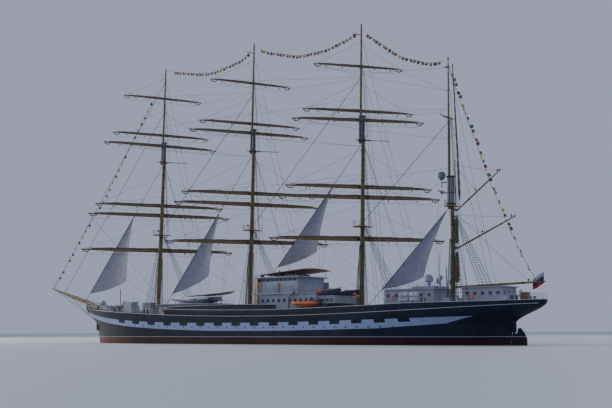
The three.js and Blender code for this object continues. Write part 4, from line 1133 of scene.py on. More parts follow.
def make_sail(name):
    """A three-cornered sail: luff to leech one way (u) and foot to head the other (v), hollowed by
    0.22 * chord * u (1 - u) * (0.4 + 0.6 u), with a few creases that run out from the clew."""
    stay, tack_z, head_z, clew_x, clew_z = SAILS[name]
    foot, head = stay_ends(stay)
    slope = (head[0] - foot[0]) / (head[2] - foot[2])
    stay_radius, rope_radius = 0.045, 0.03
    off = (stay_radius + rope_radius) * math.hypot(1, slope)
    tack, peak = (np.array([foot[0] + (z - foot[2]) * slope + off, 0, z]) for z in (tack_z, head_z))
    clew = np.array([clew_x, 0, clew_z])
    u, v = np.meshgrid(np.linspace(0, 1, 49), np.linspace(0, 0.992, 61), indexing="ij")
    front = tack + (peak - tack) * v[..., None]
    back = clew + (peak - clew) * v[..., None]
    length = np.linalg.norm(back - front, axis=-1)
    width, height = float(np.linalg.norm(clew - tack)), float(np.linalg.norm(peak - clew))
    side = unit(peak - clew)
    roach = np.array([side[2], 0, -side[0]])
    back = back - roach * (0.035 * height * 4 * v * (1 - v))[..., None]
    grid = front + (back - front) * u[..., None]
    sag = unit(clew - tack)
    under = np.array([sag[2], 0, -sag[0]])
    bow = 0.03 * width * 4 * u * (1 - u) * (1 - v) ** 6
    grid = grid + under * bow[..., None]
    belly = 0.055 * length * 4 * u * (1 - u) * (0.4 + 0.6 * u)
    ray = np.arctan2(v * 15, (1 - u) * 9 + 0.3)
    crease = 0.05 * np.sin(26 * ray) * np.exp(-2.2 * (1 - u)) * (1 - v) * (u * (1 - u) * 4)
    grid[..., 1] += belly + crease
    across = np.linalg.norm(grid - peak, axis=-1)
    uv = stacked(grid[..., 0] * side[2] - grid[..., 2] * side[0], across)
    piece = make(f"{name}_cloth", cloth(grid, 0.012, uv), SAILCLOTH, "root", [name], angle=60)
    edge = np.concatenate([grid[0], grid[::2, -1][1:], grid[-1, ::-1][1:], grid[::-2, 0][1:]])
    rope = make(f"{name}_boltrope", tubes(edge, rope_radius, 6), HEMP, "root")
    rings_z = np.linspace(tack_z + 0.5, head_z - 0.3, 16)[:, None]
    angle = np.linspace(0, 2 * np.pi, 13)
    ring_x = foot[0] + (rings_z - foot[2]) * slope + off / 2 + 0.11 * np.cos(angle)
    hanks = tubes(stacked(ring_x, 0.1 * np.sin(angle), rings_z), 0.018, 5)
    make(f"{name}_hanks", hanks, BLACK, "root")


# Standing and running rigging

SHROUD = {"first": 2.8, "step": 0.95, "inboard": 0.35}
DEADEYES = [
    # share of the length, radius
    (0, 0.05), (0.1, 0.09), (0.3, 0.09), (0.35, 0.03), (0.65, 0.03), (0.7, 0.09), (0.9, 0.09), (1, 0.05),
]


def shroud_ends(mast, side):
    """Feet at the deck's edge and heads under the top of a mast's four shrouds on one side."""
    heads = fan(mast, MASTS[mast][2] - 0.3, 0.175, 0.15, side * 0.413, 4)
    x = MASTS[mast][0] + SHROUD["first"] + np.arange(4) * SHROUD["step"]
    edge = deck_edge(x) - SHROUD["inboard"]
    return stacked(x, side * edge, floor_height(x) + 0.02), heads


def ladder(feet, heads, spacing, start, stop):
    """Ratlines: level lines across a gang of wires, one each spacing."""
    length = np.linalg.norm(heads[0] - feet[0])
    shares = np.arange(start, length * stop, spacing) / length
    low = feet[0] + (heads[0] - feet[0]) * shares[:, None]
    high = feet[-1] + (heads[-1] - feet[-1]) * shares[:, None]
    return rods(low, high, 0.02, 4)


def deadeyes(feet, heads):
    """A pair of rigging screws or deadeyes low on each wire."""
    run = unit(heads - feet)
    return turned(feet + run * 0.25, feet + run * 1.1, DEADEYES, 8)


def make_shrouds():
    """Each mast's shrouds with a band at their heads, a pole and deadeyes at their feet, and ratlines."""
    for mast in MASTS:
        for name, side in PORT_STARBOARD:
            feet, heads = shroud_ends(mast, side)
            wires = rods(feet, heads, 0.036, 6)
            band = rods([heads[0] - (0.08, 0, 0)], [heads[-1] + (0.08, 0, 0)], 0.05, 8)
            share = 1.5 / np.linalg.norm(heads[0] - feet[0])
            low = feet + (heads - feet) * share
            over = (low[1] - low[0]) * 0.3
            pole = rods([low[0] - over], [low[-1] + over], 0.04, 6)
            shape = joined(wires, band, pole, deadeyes(feet, heads), ladder(feet, heads, 0.42, 2.0, 0.95))
            node = f"{mast}_shrouds_{name}"
            make(f"{node}_gang", shape, TAR, "root", [node])


def make_upper_rigging():
    """Topmast and topgallant shrouds, futtocks and backstays of each mast, all abaft its braced yards."""
    parts = []
    for mast, (x, _, top, cross, _, truck) in MASTS.items():
        if mast == "jigger":
            spread, upper, first, step, aft = 1.2, JIGGER_TREES, 0.1, 0.2, -0.4
            backstays = [(upper - 0.3, 4.4), (truck - 1.5, 5.4)]
        else:
            spread, upper, first, step, aft = 1.1, cross, 0.55, 0.24, 0.0
            backstays = [(upper - 0.3, 7.2), (upper - 0.3, 7.9), (truck - 7.4, 8.8), (truck - 2.6, 9.6)]
        for side in (-1, 1):
            feet = fan(mast, top + 0.15, first, step, side * spread)
            heads = fan(mast, upper - 0.4, aft, 0.1, side * 0.3)
            parts += [rods(feet, heads, 0.022, 5), ladder(feet, heads, 0.42, 0.8, 0.93)]
            parts.append(rods(fan(mast, top - 1.8, 0.1, 0.1, side * 0.42), feet, 0.022, 5))
            if mast != "jigger":
                feet = fan(mast, cross, 0.52, 0, side * 0.75, 2, side * 0.45)
                heads = fan(mast, truck - 7.5, -0.45, 0.08, side * 0.18, 2)
                parts += [rods(feet, heads, 0.018, 5), ladder(feet, heads, 0.45, 4.0, 0.9)]
            for z, abaft in backstays:
                foot = [x + abaft, side * (deck_edge(x + abaft) - 0.3), floor_at(x + abaft) + 0.05]
                forward = -0.5 if z > upper else -0.1
                parts.append(rods([foot], [on_mast(mast, z, forward, side * 0.2)], 0.024, 5))
    make("upper_rigging", joined(*parts), TAR, "root")


LEADS = {
    # mast: the mast abaft it, and the heights on that mast to which the braces of its upper yards lead
    "fore": ("main", (30.0, 35.0, 43.6, 47.3)),
    "main": ("mizzen", (29.0, 34.0, 42.6, 46.3)),
    "mizzen": ("jigger", (28.2, 33.0, 38.0, 41.0)),
}


def make_braces():
    """The lowest two yards are braced from the rail and the others from the next mast; each brace
    runs from its lead to its yard's arm as the yard stands at rest."""
    for mast, (behind, heights) in LEADS.items():
        for i, (yard, height) in enumerate(zip(YARDS, (None, None) + heights)):
            origin, basis = yard_frame(mast, yard)
            half, _, _, ahead, _ = YARDS[yard]
            x = MASTS[mast][0] + 10.3 + 0.35 * i
            for name, side in PORT_STARBOARD:
                arm = origin + np.array([-ahead, side * half * 0.975, -0.1]) @ basis
                if height:
                    lead = on_mast(behind, height, -0.5, side * 0.3)
                else:
                    lead = np.array([x, side * float(deck_edge(x, RAIL_ROW)), float(rail_height(x)) + 0.05])
                brace = rope(lead, arm, 0.02, 0.012, 15, 5)
                piece = make(f"{mast}_{yard}_brace_{name}", brace, TAR, None)
                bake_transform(piece)


def make_falls():
    """Halyards that come down close round each mast to the pins of the fife rail at its foot, and the
    line aloft from the mizzen to the jigger mast."""
    parts = []
    for mast in MASTS:
        angle = np.radians(np.arange(55, 306, 19))
        ring = stacked(np.cos(angle), np.sin(angle), 0.0)
        foot = on_mast(mast, floor_at(MASTS[mast][0]))
        pins = foot + ring * 0.95 + (0, 0, 1.0)
        heads = on_mast(mast, 16.8) + ring * 0.48
        parts += [rods(pins, heads, 0.028, 5), rods(pins - (0, 0, 0.3), pins + (0, 0, 0.25), 0.045, 6)]
        posts = pins[::4]
        parts += [tubes(pins, 0.07, 8), rods(posts - (0, 0, 1.0), posts, 0.07, 8)]
    level = rods([on_mast("mizzen", 46.6)], [on_mast("jigger", 45.0, -0.5)], 0.022, 5)
    make("falls_and_fife_rails", joined(*parts, level), TAR, "root")


# Bowsprit

def make_bowsprit():
    """A spike bowsprit that tapers to its tip, with bands, a bed, bobstays, guys and a net's head ropes."""
    along = unit(SPRIT_TIP - SPRIT_HEEL)
    profile = [(0, 0.36), (0.3, 0.36), (0.5, 0.32), (0.7, 0.26), (0.9, 0.16), (1.0, 0.08)]
    body = turned([SPRIT_HEEL], [SPRIT_TIP], profile, 24)
    bands = []
    for share, radius in ((0.27, 0.38), (0.5, 0.33), (0.62, 0.3), (0.72, 0.27), (0.93, 0.16), (0.97, 0.14)):
        bands.append(rods([on_sprit(share)], [on_sprit(share) + along * 0.14], radius, 20).painted(BLACK))
    bed = boxes([-50.9, -0.4, deck_at(-49.6) - 0.1], [-49.6, 0.4, 7.95])
    made_fast = (0.62, 0.93)
    bobstays = rods([on_sprit(share) for share in made_fast], [[-49.5, 0, 4.65], [-49.8, 0, 4.98]], 0.05, 8)
    bow_edge = float(deck_edge(-46.5))
    lines = [rods([on_sprit(share)], [[-46.5, side * bow_edge, 7.0]], 0.03, 6)
             for share in made_fast for side in (-1, 1)]
    share = np.linspace(0.3, 0.9, 14)
    upper = on_sprit(share[:, None])
    for side in (-1, 1):
        out = upper + stacked(0.0, side * 1.5 * (1 - 0.75 * share), -0.1)
        lines += [tubes(out, 0.02, 5), rods(upper, out, 0.012, 4)]
    shape = joined(body, *bands, bed, bobstays.painted(BLACK), joined(*lines).painted(BLACK))
    make("bowsprit_spar", shape, SPAR, "root", ["bowsprit"])


# Deckhouses

def windows(x0, x1, y, z, count, size=(0.5, 0.55), across=False):
    """A row of square windows, each a dark pane in a frame that stands a little proud. They stand in
    a side wall at y, or across the ship from y = x0 to x1 in an end wall at x = y."""
    spots = np.linspace(x0, x1, count)
    w, h = size
    low = stacked(spots - w / 2, y - 0.03, z - h / 2)
    high = low + (w, 0.06, h)
    lip = np.array([0.06, -0.01, 0.06])
    order = [1, 0, 2] if across else [0, 1, 2]
    pane, surround = (boxes(a[:, order], b[:, order]) for a, b in ((low, high), (low - lip, high + lip)))
    return joined(pane.painted(GLASS), surround.painted(GREY))


def scuttles(points, normal, radius):
    """Round scuttles: a glass disc in a raised ring."""
    normal = np.asarray(normal, float)
    seat = points - normal * 0.02
    ring = turned(seat, points + normal * 0.025, [(0, radius), (0.6, radius), (1, radius * 0.86)], 14)
    glass = rods(seat, points + normal * 0.035, radius * 0.8, 14)
    return joined(ring.painted(BLACK), glass.painted(GLASS))


def railing(path, height=1.0):
    """Stanchions each spacing along a path, and level bars between them."""
    spacing, bars, radius = 1.6, 3, 0.025
    path = np.asarray(path, float)
    length = path_length(path)
    feet = along_path(path, np.linspace(0, length, max(2, int(round(length / spacing)) + 1)))
    profile = [(0, radius * 1.3), (0.9, radius * 1.1), (1, radius * 1.5)]
    posts = turned(feet, feet + (0, 0, height), profile, 6)
    levels = [tubes(path + (0, 0, height * (k + 1) / bars), radius * 0.8, 6) for k in range(bars)]
    return joined(posts, *levels)


HOUSES = {
    # name: x of the fore and the aft wall, half-breadth, top of the walls, how far the roof stands out
    # past the ends and past the sides, x of the first and the last window, their height and number,
    # x at which the deck gives the walls' foot
    "fore_deckhouse": (-27.0, -14.0, 3.4, 7.4, 0.4, 0.3, -26.0, -15.0, 6.5, 8, -20),
    "aft_deckhouse": (24.6, 33.8, 2.8, 8.8, 0.3, 0.2, 25.4, 33.0, 7.9, 6, 26),
    "poop_house": (38.6, 45.4, 2.4, 8.8, 0.3, 0.2, 39.4, 44.6, 7.9, 5, 42),
}
SUNK = 0.02  # how far a wall stands into the deck
ROOF, RAIL_INSET, SMALL_WINDOW = 0.15, 0.1, (0.45, 0.45)


def plain_house(name, railed=True):
    """A house from its row of HOUSES: walls, a roof that overhangs them, windows and a rail."""
    x0, x1, half, top, past_ends, past_sides, first, last, level, count, foot = HOUSES[name]
    end0, end1, edge = x0 - past_ends, x1 + past_ends, half + past_sides
    lows = [[x0, -half, floor_at(foot) - SUNK], [end0, -edge, top]]
    parts = [boxes(lows, [[x1, half, top], [end1, edge, top + ROOF]])]
    for side in (-1, 1):
        parts.append(windows(first, last, side * half, level, count, SMALL_WINDOW))
        if railed:
            y, z = side * (edge - RAIL_INSET), top + ROOF
            parts.append(railing([[end0 + RAIL_INSET, y, z], [end1 - RAIL_INSET, y, z]], 0.9))
    return parts


def bridge_house():
    """Three levels with their windows, screens at the forward corners whose warm tone is painted sunlight,
    and rails.
    """
    deck, roof, side_y, wheelhouse_y = 8.95, 11.8, 4.6, 4.0
    parts = [
        boxes([[-1.6, -side_y, floor_at(5) - SUNK], [-1.5, -wheelhouse_y, 8.9]],
              [[12.0, side_y, 8.7], [7.6, wheelhouse_y, 11.6]]),
        boxes([[-2.1, -4.9, 8.7], [-1.7, -4.5, 11.6]], [[8.4, 4.9, deck], [8.2, 4.5, roof]]),
        boxes([8.4, -4.75, 8.7], [12.2, 4.75, 8.86]),
    ]
    for side in (-1, 1):
        parts += [
            windows(-0.8, 11.2, side * side_y, 7.6, 11),
            windows(-0.9, 7.0, side * wheelhouse_y, 11.2, 9, (0.62, 0.5)),
            slab(side, (0.4, 8.2), (4.56, 4.64), (8.9, 10.95)),
            windows(1.6, 3.2, side * side_y, 9.7, 3, (0.45, 0.5)),
            # the forward screens take a warm tone that is painted sunlight on their white paint
            slab(side, (-1.55, -0.75), (4.59, 4.77), (7.1, 11.5)).painted(SUNLIT_WHITE),
            slab(side, (-1.55, -0.75), (3.95, side_y), (11.3, 11.5)),
            slab(side, (3.8, 4.4), (4.54, 4.66), (deck, 10.6)).painted(VARNISH),
        ]
    parts.append(windows(-3.4, 3.4, -1.5, 11.0, 9, (0.55, 0.75), True))
    parts.append(windows(-3.9, 3.9, -1.6, 7.6, 7, (0.5, 0.55), True))
    parts.append(railing([[-2.0, -4.8, deck], [-2.0, 4.8, deck]], 1.05))
    for side in (-1, 1):
        parts.append(railing([[-2.0, side * 4.8, deck], [8.3, side * 4.8, deck]], 1.05))
        parts.append(railing([[8.5, side * 4.65, 8.86], [12.1, side * 4.65, 8.86]], 1.05))
    return parts


def make_houses():
    """The four houses; the two aft ones have a rail, a locker or windows across the ship as well."""
    rail = railing([[24.4, -2.9, 8.95], [24.4, 2.9, 8.95]], 0.9)
    locker = boxes([29.6, -2.4, 8.9], [33.6, 2.4, 9.3])
    end_windows = windows(-1.6, 1.6, 45.4, 7.9, 3, SMALL_WINDOW, True)
    houses = {
        "bridge_house": bridge_house(),
        "fore_deckhouse": plain_house("fore_deckhouse"),
        "aft_deckhouse": plain_house("aft_deckhouse") + [rail, locker],
        "poop_house": plain_house("poop_house", False) + [end_windows],
    }
    for name, parts in houses.items():
        make(f"{name}_shell", joined(*parts), WHITE, "root", [name])


BAND_Z = 2.9
BAND_X, BAND_Y = outline(lines_at(BAND_Z), np.linspace(0, 1, 300))


def make_side_lights():
    """Scuttles in the white band and under the rail, on both sides."""
    spacing = 2.14
    x = np.arange(-31.66, 33.0, spacing)
    fore = np.maximum((MIDSHIPS - x) / FORE_RUN, 0)
    band = stacked(x, -np.interp(x, BAND_X, BAND_Y), BAND_Z + 1.6 * fore**2)
    x = np.arange(-19.5, 27.5, spacing)
    upper = stacked(x, -deck_edge(x, RAIL_ROW), deck_height(x) + 0.55)
    shape = joined(scuttles(band, (0, -1, 0), 0.14), scuttles(upper, (0, -1, 0), 0.17))
    make("side_scuttles", both(shape), WHITE)


def make_rails():
    """Open rails round the forecastle and the poop."""
    x = np.linspace(-50.4, BREAK_FORE - 0.2, 40)
    fore = side_path(x, deck_height(x) + 0.1, -0.12)
    x = np.linspace(POOP + 0.2, 50.9, 36)
    aft = side_path(x, rail_height(x), -0.14, RAIL_ROW)
    make("deck_rails", both(joined(railing(fore), railing(aft))), WHITE)


# Cloth hung or laid on the ship


def hang(name, grid, paint, thickness=0.012):
    """A sheet of cloth from a grid of points."""
    piece = make(name, cloth(grid, thickness), paint, "root", angle=60)


# Boats

BOAT_RISE = 0.25  # of a boat's ends over its middle


def boat(length, beam, depth, lift):
    """A boat with its keel along X: half-breadth is beam / 2 * (1 - |t|^2.4)^0.7 over the stations t;
    a section falls as a power of the sine below the gunwale and rises as another above it."""
    t = np.linspace(-0.998, 0.998, 33)[:, None]
    angle = np.linspace(2 * np.pi, 0, 28, endpoint=False)[None]
    wide = beam / 2 * (1 - np.abs(t) ** 2.4) ** 0.7
    sine, cosine = np.sin(angle), np.cos(angle)
    fall = -depth * np.abs(sine) ** 0.8 * (1 - 0.55 * np.abs(t) ** 3)
    crown = lift * np.abs(sine) ** 0.9 * (1 - t**2) ** 0.5
    z = BOAT_RISE * t**2 + np.where(sine < 0, fall, crown)
    y = wide * np.sign(cosine) * np.abs(cosine) ** 0.75
    return capped(stacked(t * length / 2, y, z))


def boat_cover(length, beam, lift, skirt):
    """Cloth laced over a boat: a ridge along the middle, hollow between the thwarts, and a skirt outside."""
    t = np.linspace(-1, 1, 37)[:, None]
    s = np.linspace(-1, 1, 25)[None]
    wide = (beam / 2 + 0.04) * (1.0008 - np.abs(t) ** 2.4) ** 0.7
    over = np.clip(np.abs(s) / 0.8, 0, 1)
    y = wide * np.sign(s) * over ** 0.9
    drop = skirt * np.clip((np.abs(s) - 0.8) / 0.2, 0, 1)
    hollow = 0.07 * np.sin(9.4 * t) ** 2 * (1 - over**2)
    ridge = lift * (1 - over**1.5) * (1 - t**2) ** 0.4
    fold = 0.03 * np.sin(31 * t) * np.clip(over, 0, 1) ** 3
    z = BOAT_RISE * t**2 + 0.05 + ridge - hollow - drop
    return stacked(t * (length / 2 + 0.05), y + np.sign(s) * fold, z)


def chocks(centre, length, half, base, top):
    """Two cross bearers with uprights under a boat."""
    x, y = centre
    spots = (x - 0.28 * length, x + 0.28 * length)
    low = np.array([[v - 0.08, y - half, base] for v in spots])
    bearers = boxes(low, low + (0.16, 2 * half, 0.12))
    arms = np.array([[v - 0.06, y + s * half - 0.06, base] for v in spots for s in (-1, 1)])
    return joined(bearers, boxes(arms, arms + (0.12, 0.12, top - base)))


def inflatable(length, beam):
    """A rescue boat: a fat tube bent round the bow on a moulded bottom, with a console and an engine."""
    s = np.linspace(-1, 1, 41)
    reach = np.clip(np.abs(s) * 2.1, 0, 1)
    x = -length / 2 + 0.3 + (length - 0.5) * np.abs(s) ** 1.9
    y = np.sign(s) * (beam / 2 - 0.27) * np.sin(reach * np.pi / 2) ** 0.8
    z = 0.18 * (1 - np.abs(s)) ** 3
    tube = tubes(stacked(x, y, z), np.interp(np.abs(s), [0, 0.9, 1], [0.27, 0.27, 0.12]), 14)
    bottom = boat(length * 0.94, beam * 0.72, 0.55, 0.05).moved((0.1, 0, -0.1))
    console = boxes([[0.3, -0.35, 0.0], [1.3, -0.5, 0.0]], [[0.9, 0.35, 0.75], [1.8, 0.5, 0.42]])
    engine = boxes([length / 2 - 0.25, -0.2, -0.2], [length / 2 + 0.15, 0.2, 0.6]).painted(BLACK)
    angle = np.linspace(0, np.pi, 13)
    arch = stacked(1.0, 0.45 * np.cos(angle), 0.1 + 1.0 * np.sin(angle))
    grab = tubes(arch, 0.04, 8).painted(GREY)
    return joined(tube.painted(ORANGE), bottom.painted(ORANGE), console.painted(GREY), engine, grab)


BOATS = {
    # name: length, beam, depth, crown, x of the middle, distance from the centreline, gunwale height,
    # length that spaces the chocks, their foot and head, lift and skirt of the cover, its first
    # station, paints of the boat, the chocks and the cover
    "pulling": (8.6, 2.3, 0.95, 0.05, -19.6, 1.95, 8.62, 8.6, 7.55, 8.35, 0.22, 0.5, 0,
                WHITE, WHITE, COVER),
    "work": (5.6, 2.0, 0.8, 0.1, 13.4, 3.1, 9.0, 4.8, 8.2, 8.75, 0.35, 0.7, 14,
             ORANGE, GREY, NAVY_CLOTH),
}


def make_covered_boat(kind, name, side):
    """A boat of BOATS in its chocks, with its cover."""
    (length, beam, depth, crown, x, out, z, rest_length, foot, head, lift, skirt, first,
     hull_color, chock_color, cloth_color) = BOATS[kind]
    y = side * out
    hull = boat(length, beam, depth, crown).moved((x, y, z)).painted(hull_color)
    rest = chocks((x, y), rest_length, 0.7, foot, head).painted(chock_color)
    piece = make(f"{kind}_boat_{name}", joined(hull, rest), chock_color)
    cover = boat_cover(length, beam, lift, skirt)[first:] + (x, y, z)
    hang(f"{kind}_boat_cover_{name}", cover, cloth_color, 0.02)


def make_rescue_boat(name, side):
    """An inflatable in its cradle under a davit, with the davit's falls and ram."""
    x, y = 10.9, side * 5.75
    rib = inflatable(5.9, 2.0).moved((x, y, 6.95))
    cradle = chocks((10.2, y), 3.572, 0.6, floor_at(11), 6.6).painted(GREY)
    bend = [[6.6, side * 5.2, floor_at(6.6)], [6.7, side * 5.3, 7.9], [7.5, side * 5.5, 8.7], [9.9, y, 10.1]]
    davit = tubes(bend, [0.16, 0.15, 0.13, 0.08], 10).painted(GREY)
    falls = rods([9.8, y, 10.05], [11.2, y, 7.9], 0.025, 6).painted(BLACK)
    ram = rods([6.7, side * 5.3, 6.6], [8.3, side * 5.6, 9.1], 0.07, 8).painted(BLACK)
    make(f"rescue_boat_{name}", joined(rib, cradle, davit, falls, ram), GREY)


def make_boats():
    """The boats on both sides, and the skids that carry the pulling boats."""
    for name, side in PORT_STARBOARD:
        make_covered_boat("pulling", name, side)
        make_rescue_boat(name, side)
        make_covered_boat("work", name, side)
    beams = [[x, -5.0, 8.3] for x in (-22.0, -17.2)]
    make("skids", rods(beams, np.array(beams) + (0, 10.0, 0), 0.09, 8), WHITE)


# Awnings

def awning(x0, x1, z0, z1, half, droop, crown, drawn_in=0.0):
    """A stretched awning: u along, v across; it falls crown * |v|^1.7 to the eaves and sags between its
    beams. Its last quarter at each end is drawn in to the ridge by the share drawn_in."""
    u, v = np.meshgrid(np.linspace(0, 1, 31), np.linspace(-1, 1, 25), indexing="ij")
    close = 1 - drawn_in * np.clip((np.abs(2 * u - 1) - 0.5) / 0.5, 0, 1) ** 1.5
    half, crown = half * close, crown * close
    sag = droop * np.sin(np.pi * ((u * 4) % 1)) * (1 - 0.3 * v**2)
    z = z0 + (z1 - z0) * u - crown * np.abs(v) ** 1.7 - sag
    return stacked(x0 + (x1 - x0) * u, v * half, z)


AWNINGS = {
    # name: what awning() takes, ends of the ridge, x and y of the posts, their foot, their head at the
    # fore end, rise of the heads to a metre, radius of the posts, cloth
    "bridge_awning": (
        (-2.0, 8.9, 12.35, 13.2, 4.5, 0.03, 0.25), ((-2.0, 0, 12.3), (8.9, 0, 13.15)),
        (-1.3, 2.6, 7.6), 4.35, 11.75, 11.98, 0.078, 0.05, AWNING,
    ),
    "boat_awning": (
        (-25.8, -10.6, 8.98, 9.75, 2.3, 0.04, 0.28, 0.85), ((-26.4, 0, 8.9), (-10.2, 0, 9.75)),
        (-25.6, -20.7, -15.6, -13.9), 0.3, 7.5, 8.88, 0.0526, 0.04, PALE_AWNING,
    ),
}


def make_awnings():
    """Two awnings, each over a ridge and posts that are a frame of their own."""
    for name, (sheet, ridge, spots, y, foot, head, slope, radius, canvas) in AWNINGS.items():
        posts = np.array([[x, side * y, foot] for x in spots for side in (-1, 1)])
        tops = np.c_[posts[:, :2], head + slope * (posts[:, 0] - sheet[0])]
        shape = joined(rods(posts, tops, radius, 8), rods(*ridge, 0.05, 8))
        piece = make(f"{name}_frame", shape, SPAR)
        hang(name, awning(*sheet), canvas)


# Gear of the decks

def capstan(x, y, z):
    """A barrel on a base, with a drumhead and whelps."""
    rows = [(0.55, 0), (0.55, 0.12), (0.34, 0.2), (0.3, 0.5), (0.36, 0.8), (0.46, 0.86), (0.46, 1.0),
            (0.3, 1.06), (0.02, 1.08)]
    whelps = boxes([[-0.34, -0.04, 0.22], [-0.04, -0.34, 0.22]], [[0.34, 0.04, 0.78], [0.04, 0.34, 0.78]])
    return joined(spun(rows, (0, 0, 0)), whelps).moved((x, y, z))


def cowl(x, y, z, height, radius=0.28):
    """A cowl vent: a trunk that bends forward by a quarter of a circle to a wide mouth."""
    bend = np.linspace(0, np.pi / 2, 9)
    hood = stacked(-0.45 * (1 - np.cos(bend)), 0.0, height * 0.62 + 0.45 * np.sin(bend))
    path = np.concatenate([[[0, 0, 0], [0, 0, height * 0.5]], hood])
    return tubes(path, np.r_[radius, radius, radius * np.linspace(1, 2.0, 9)], 18).moved((x, y, z))


def mushroom(x, y, z, height=0.7, radius=0.22):
    """A vent with a mushroom top."""
    rows = [(0.6, 0), (0.6, 0.8), (1, 0.8), (0.9, 0.95)]
    return spun([(radius * r, height * h) for r, h in rows] + [(0.02, height)], (x, y, z), 16)


def bitts(x, y, z):
    """Two bollards on one plate."""
    feet = np.array([[x - 0.4, y, z], [x + 0.4, y, z]])
    posts = turned(feet, feet + (0, 0, 0.75), [(0, 0.16), (0.85, 0.16), (0.87, 0.21), (1, 0.2)], 14)
    return joined(posts, boxes([x - 0.75, y - 0.25, z], [x + 0.75, y + 0.25, z + 0.1])).painted(BLACK)


def skylight(x0, x1, half, z, height=0.8):
    """A pitched skylight: sloping panes over a coaming."""
    roof = np.array([[-half, height * 0.45], [0, height], [half, height * 0.45], [half, 0], [-half, 0]])
    points = np.concatenate([np.c_[np.full(5, x), roof + (0, z)] for x in (x0, x1)])
    i = np.arange(5)
    side = stacked(i, np.roll(i, -1), np.roll(i, -1) + 5, i + 5)
    return Shape(points, [side[:, ::-1], i[None], i[None, ::-1] + 5])


def flanged(centre, half, height):
    """A chest or locker with a lid that stands proud."""
    x, y, z = centre
    a, b = half
    lid = z + height * 0.86
    return boxes([[x - a, y - b, z], [x - a - 0.05, y - b - 0.05, lid]],
                 [[x + a, y + b, lid], [x + a + 0.05, y + b + 0.05, z + height]])


def stairs(x, y0, y1, z0, z1, run):
    """A ladder-stair with side strings, treads and hand rails."""
    steps = 8
    rise = np.linspace(0, 1, steps + 2)[1:-1]
    low = stacked(x + run * rise - 0.12, y0, z0 + (z1 - z0) * rise)
    treads = boxes(low, low + (0.24, y1 - y0, 0.04))
    ends = [rods([x, y, z0 + up], [x + run, y, z1 + up], 0.035, 6) for y in (y0, y1) for up in (0, 0.9)]
    posts = [rods([x, y, z0], [x, y, z0 + 0.9], 0.03, 6) for y in (y0, y1)]
    return joined(treads, *ends, *posts)


WINDLASS = [
    # share of the barrel's length, radius
    (0, 0.3), (0.08, 0.42), (0.1, 0.25), (0.2, 0.25), (0.22, 0.62), (0.3, 0.62), (0.32, 0.4),
    (0.42, 0.4), (0.44, 0.7), (0.56, 0.7), (0.58, 0.4), (0.68, 0.4), (0.7, 0.62), (0.78, 0.62),
    (0.8, 0.25), (0.9, 0.25), (0.92, 0.42), (1, 0.3),
]


def windlass(x, z):
    """A barrel with its gypsies between four cheeks, and its motor's housing."""
    drum = turned([x, -2.3, z + 0.75], [x, 2.3, z + 0.75], WINDLASS, 24)
    low = np.array([[x - 0.55, y - 0.09, z] for y in (-1.55, -0.95, 0.95, 1.55)])
    cheeks = boxes(low, low + (1.1, 0.18, 1.0))
    motor = boxes([x + 0.5, -0.7, z], [x + 1.9, 0.7, z + 0.85])
    return joined(drum, cheeks, motor).painted(BLACK)


def chain(path):
    """A studded chain drawn as a rope of flattened links that turn by a quarter one to the next."""
    size = 0.16
    middle = along_path(path, np.arange(0, path_length(path), size * 1.5))
    along = unit(np.gradient(middle, axis=0))
    side = unit(np.cross(along, (0, 0, 1)))
    over = np.cross(side, along)
    turn = (np.arange(len(middle)) % 2)[:, None]
    wide = np.where(turn == 1, side, over)
    a = np.linspace(0, 2 * np.pi, 9)[None, :, None]
    loop = middle[:, None] + size * np.cos(a) * along[:, None] + 0.6 * size * np.sin(a) * wide[:, None]
    return tubes(loop, size * 0.22, 5).painted(BLACK)


def anchor(x, y, z):
    """A stockless anchor hove up to its hawse on the starboard bow: shank, crown and two flukes."""
    shank = rods([x - 0.1, y - 0.7, z + 0.3], [x + 0.25, y + 0.35, z - 1.6], 0.16, 12)
    crown = boxes([x - 0.55, y + 0.05, z - 1.85], [x + 1.05, y + 0.6, z - 1.4])
    flukes = [turned([x + 0.25 + s * 0.62, y + 0.4, z - 1.6], [x + 0.25 + s * 0.74, y + 0.55, z - 0.45],
                     [(0, 0.22), (0.5, 0.19), (1, 0.05)], 10) for s in (-1, 1)]
    hawse = turned([x + 0.1, y - 0.2, z - 0.35], [x + 0.15, y + 0.5, z - 0.75],
                   [(0, 0.26), (0.8, 0.26), (0.82, 0.36), (1, 0.36)], 20)
    return joined(shank, crown, hawse, *flukes).painted(BLACK)


def lifebuoy(x, y, z):
    """A lifebuoy that hangs fore and aft."""
    angle = np.linspace(0, 2 * np.pi, 25)
    ring = stacked(x + 0.3 * np.cos(angle), y, z + 0.3 * np.sin(angle))
    return tubes(ring, 0.08, 10).painted(ORANGE)


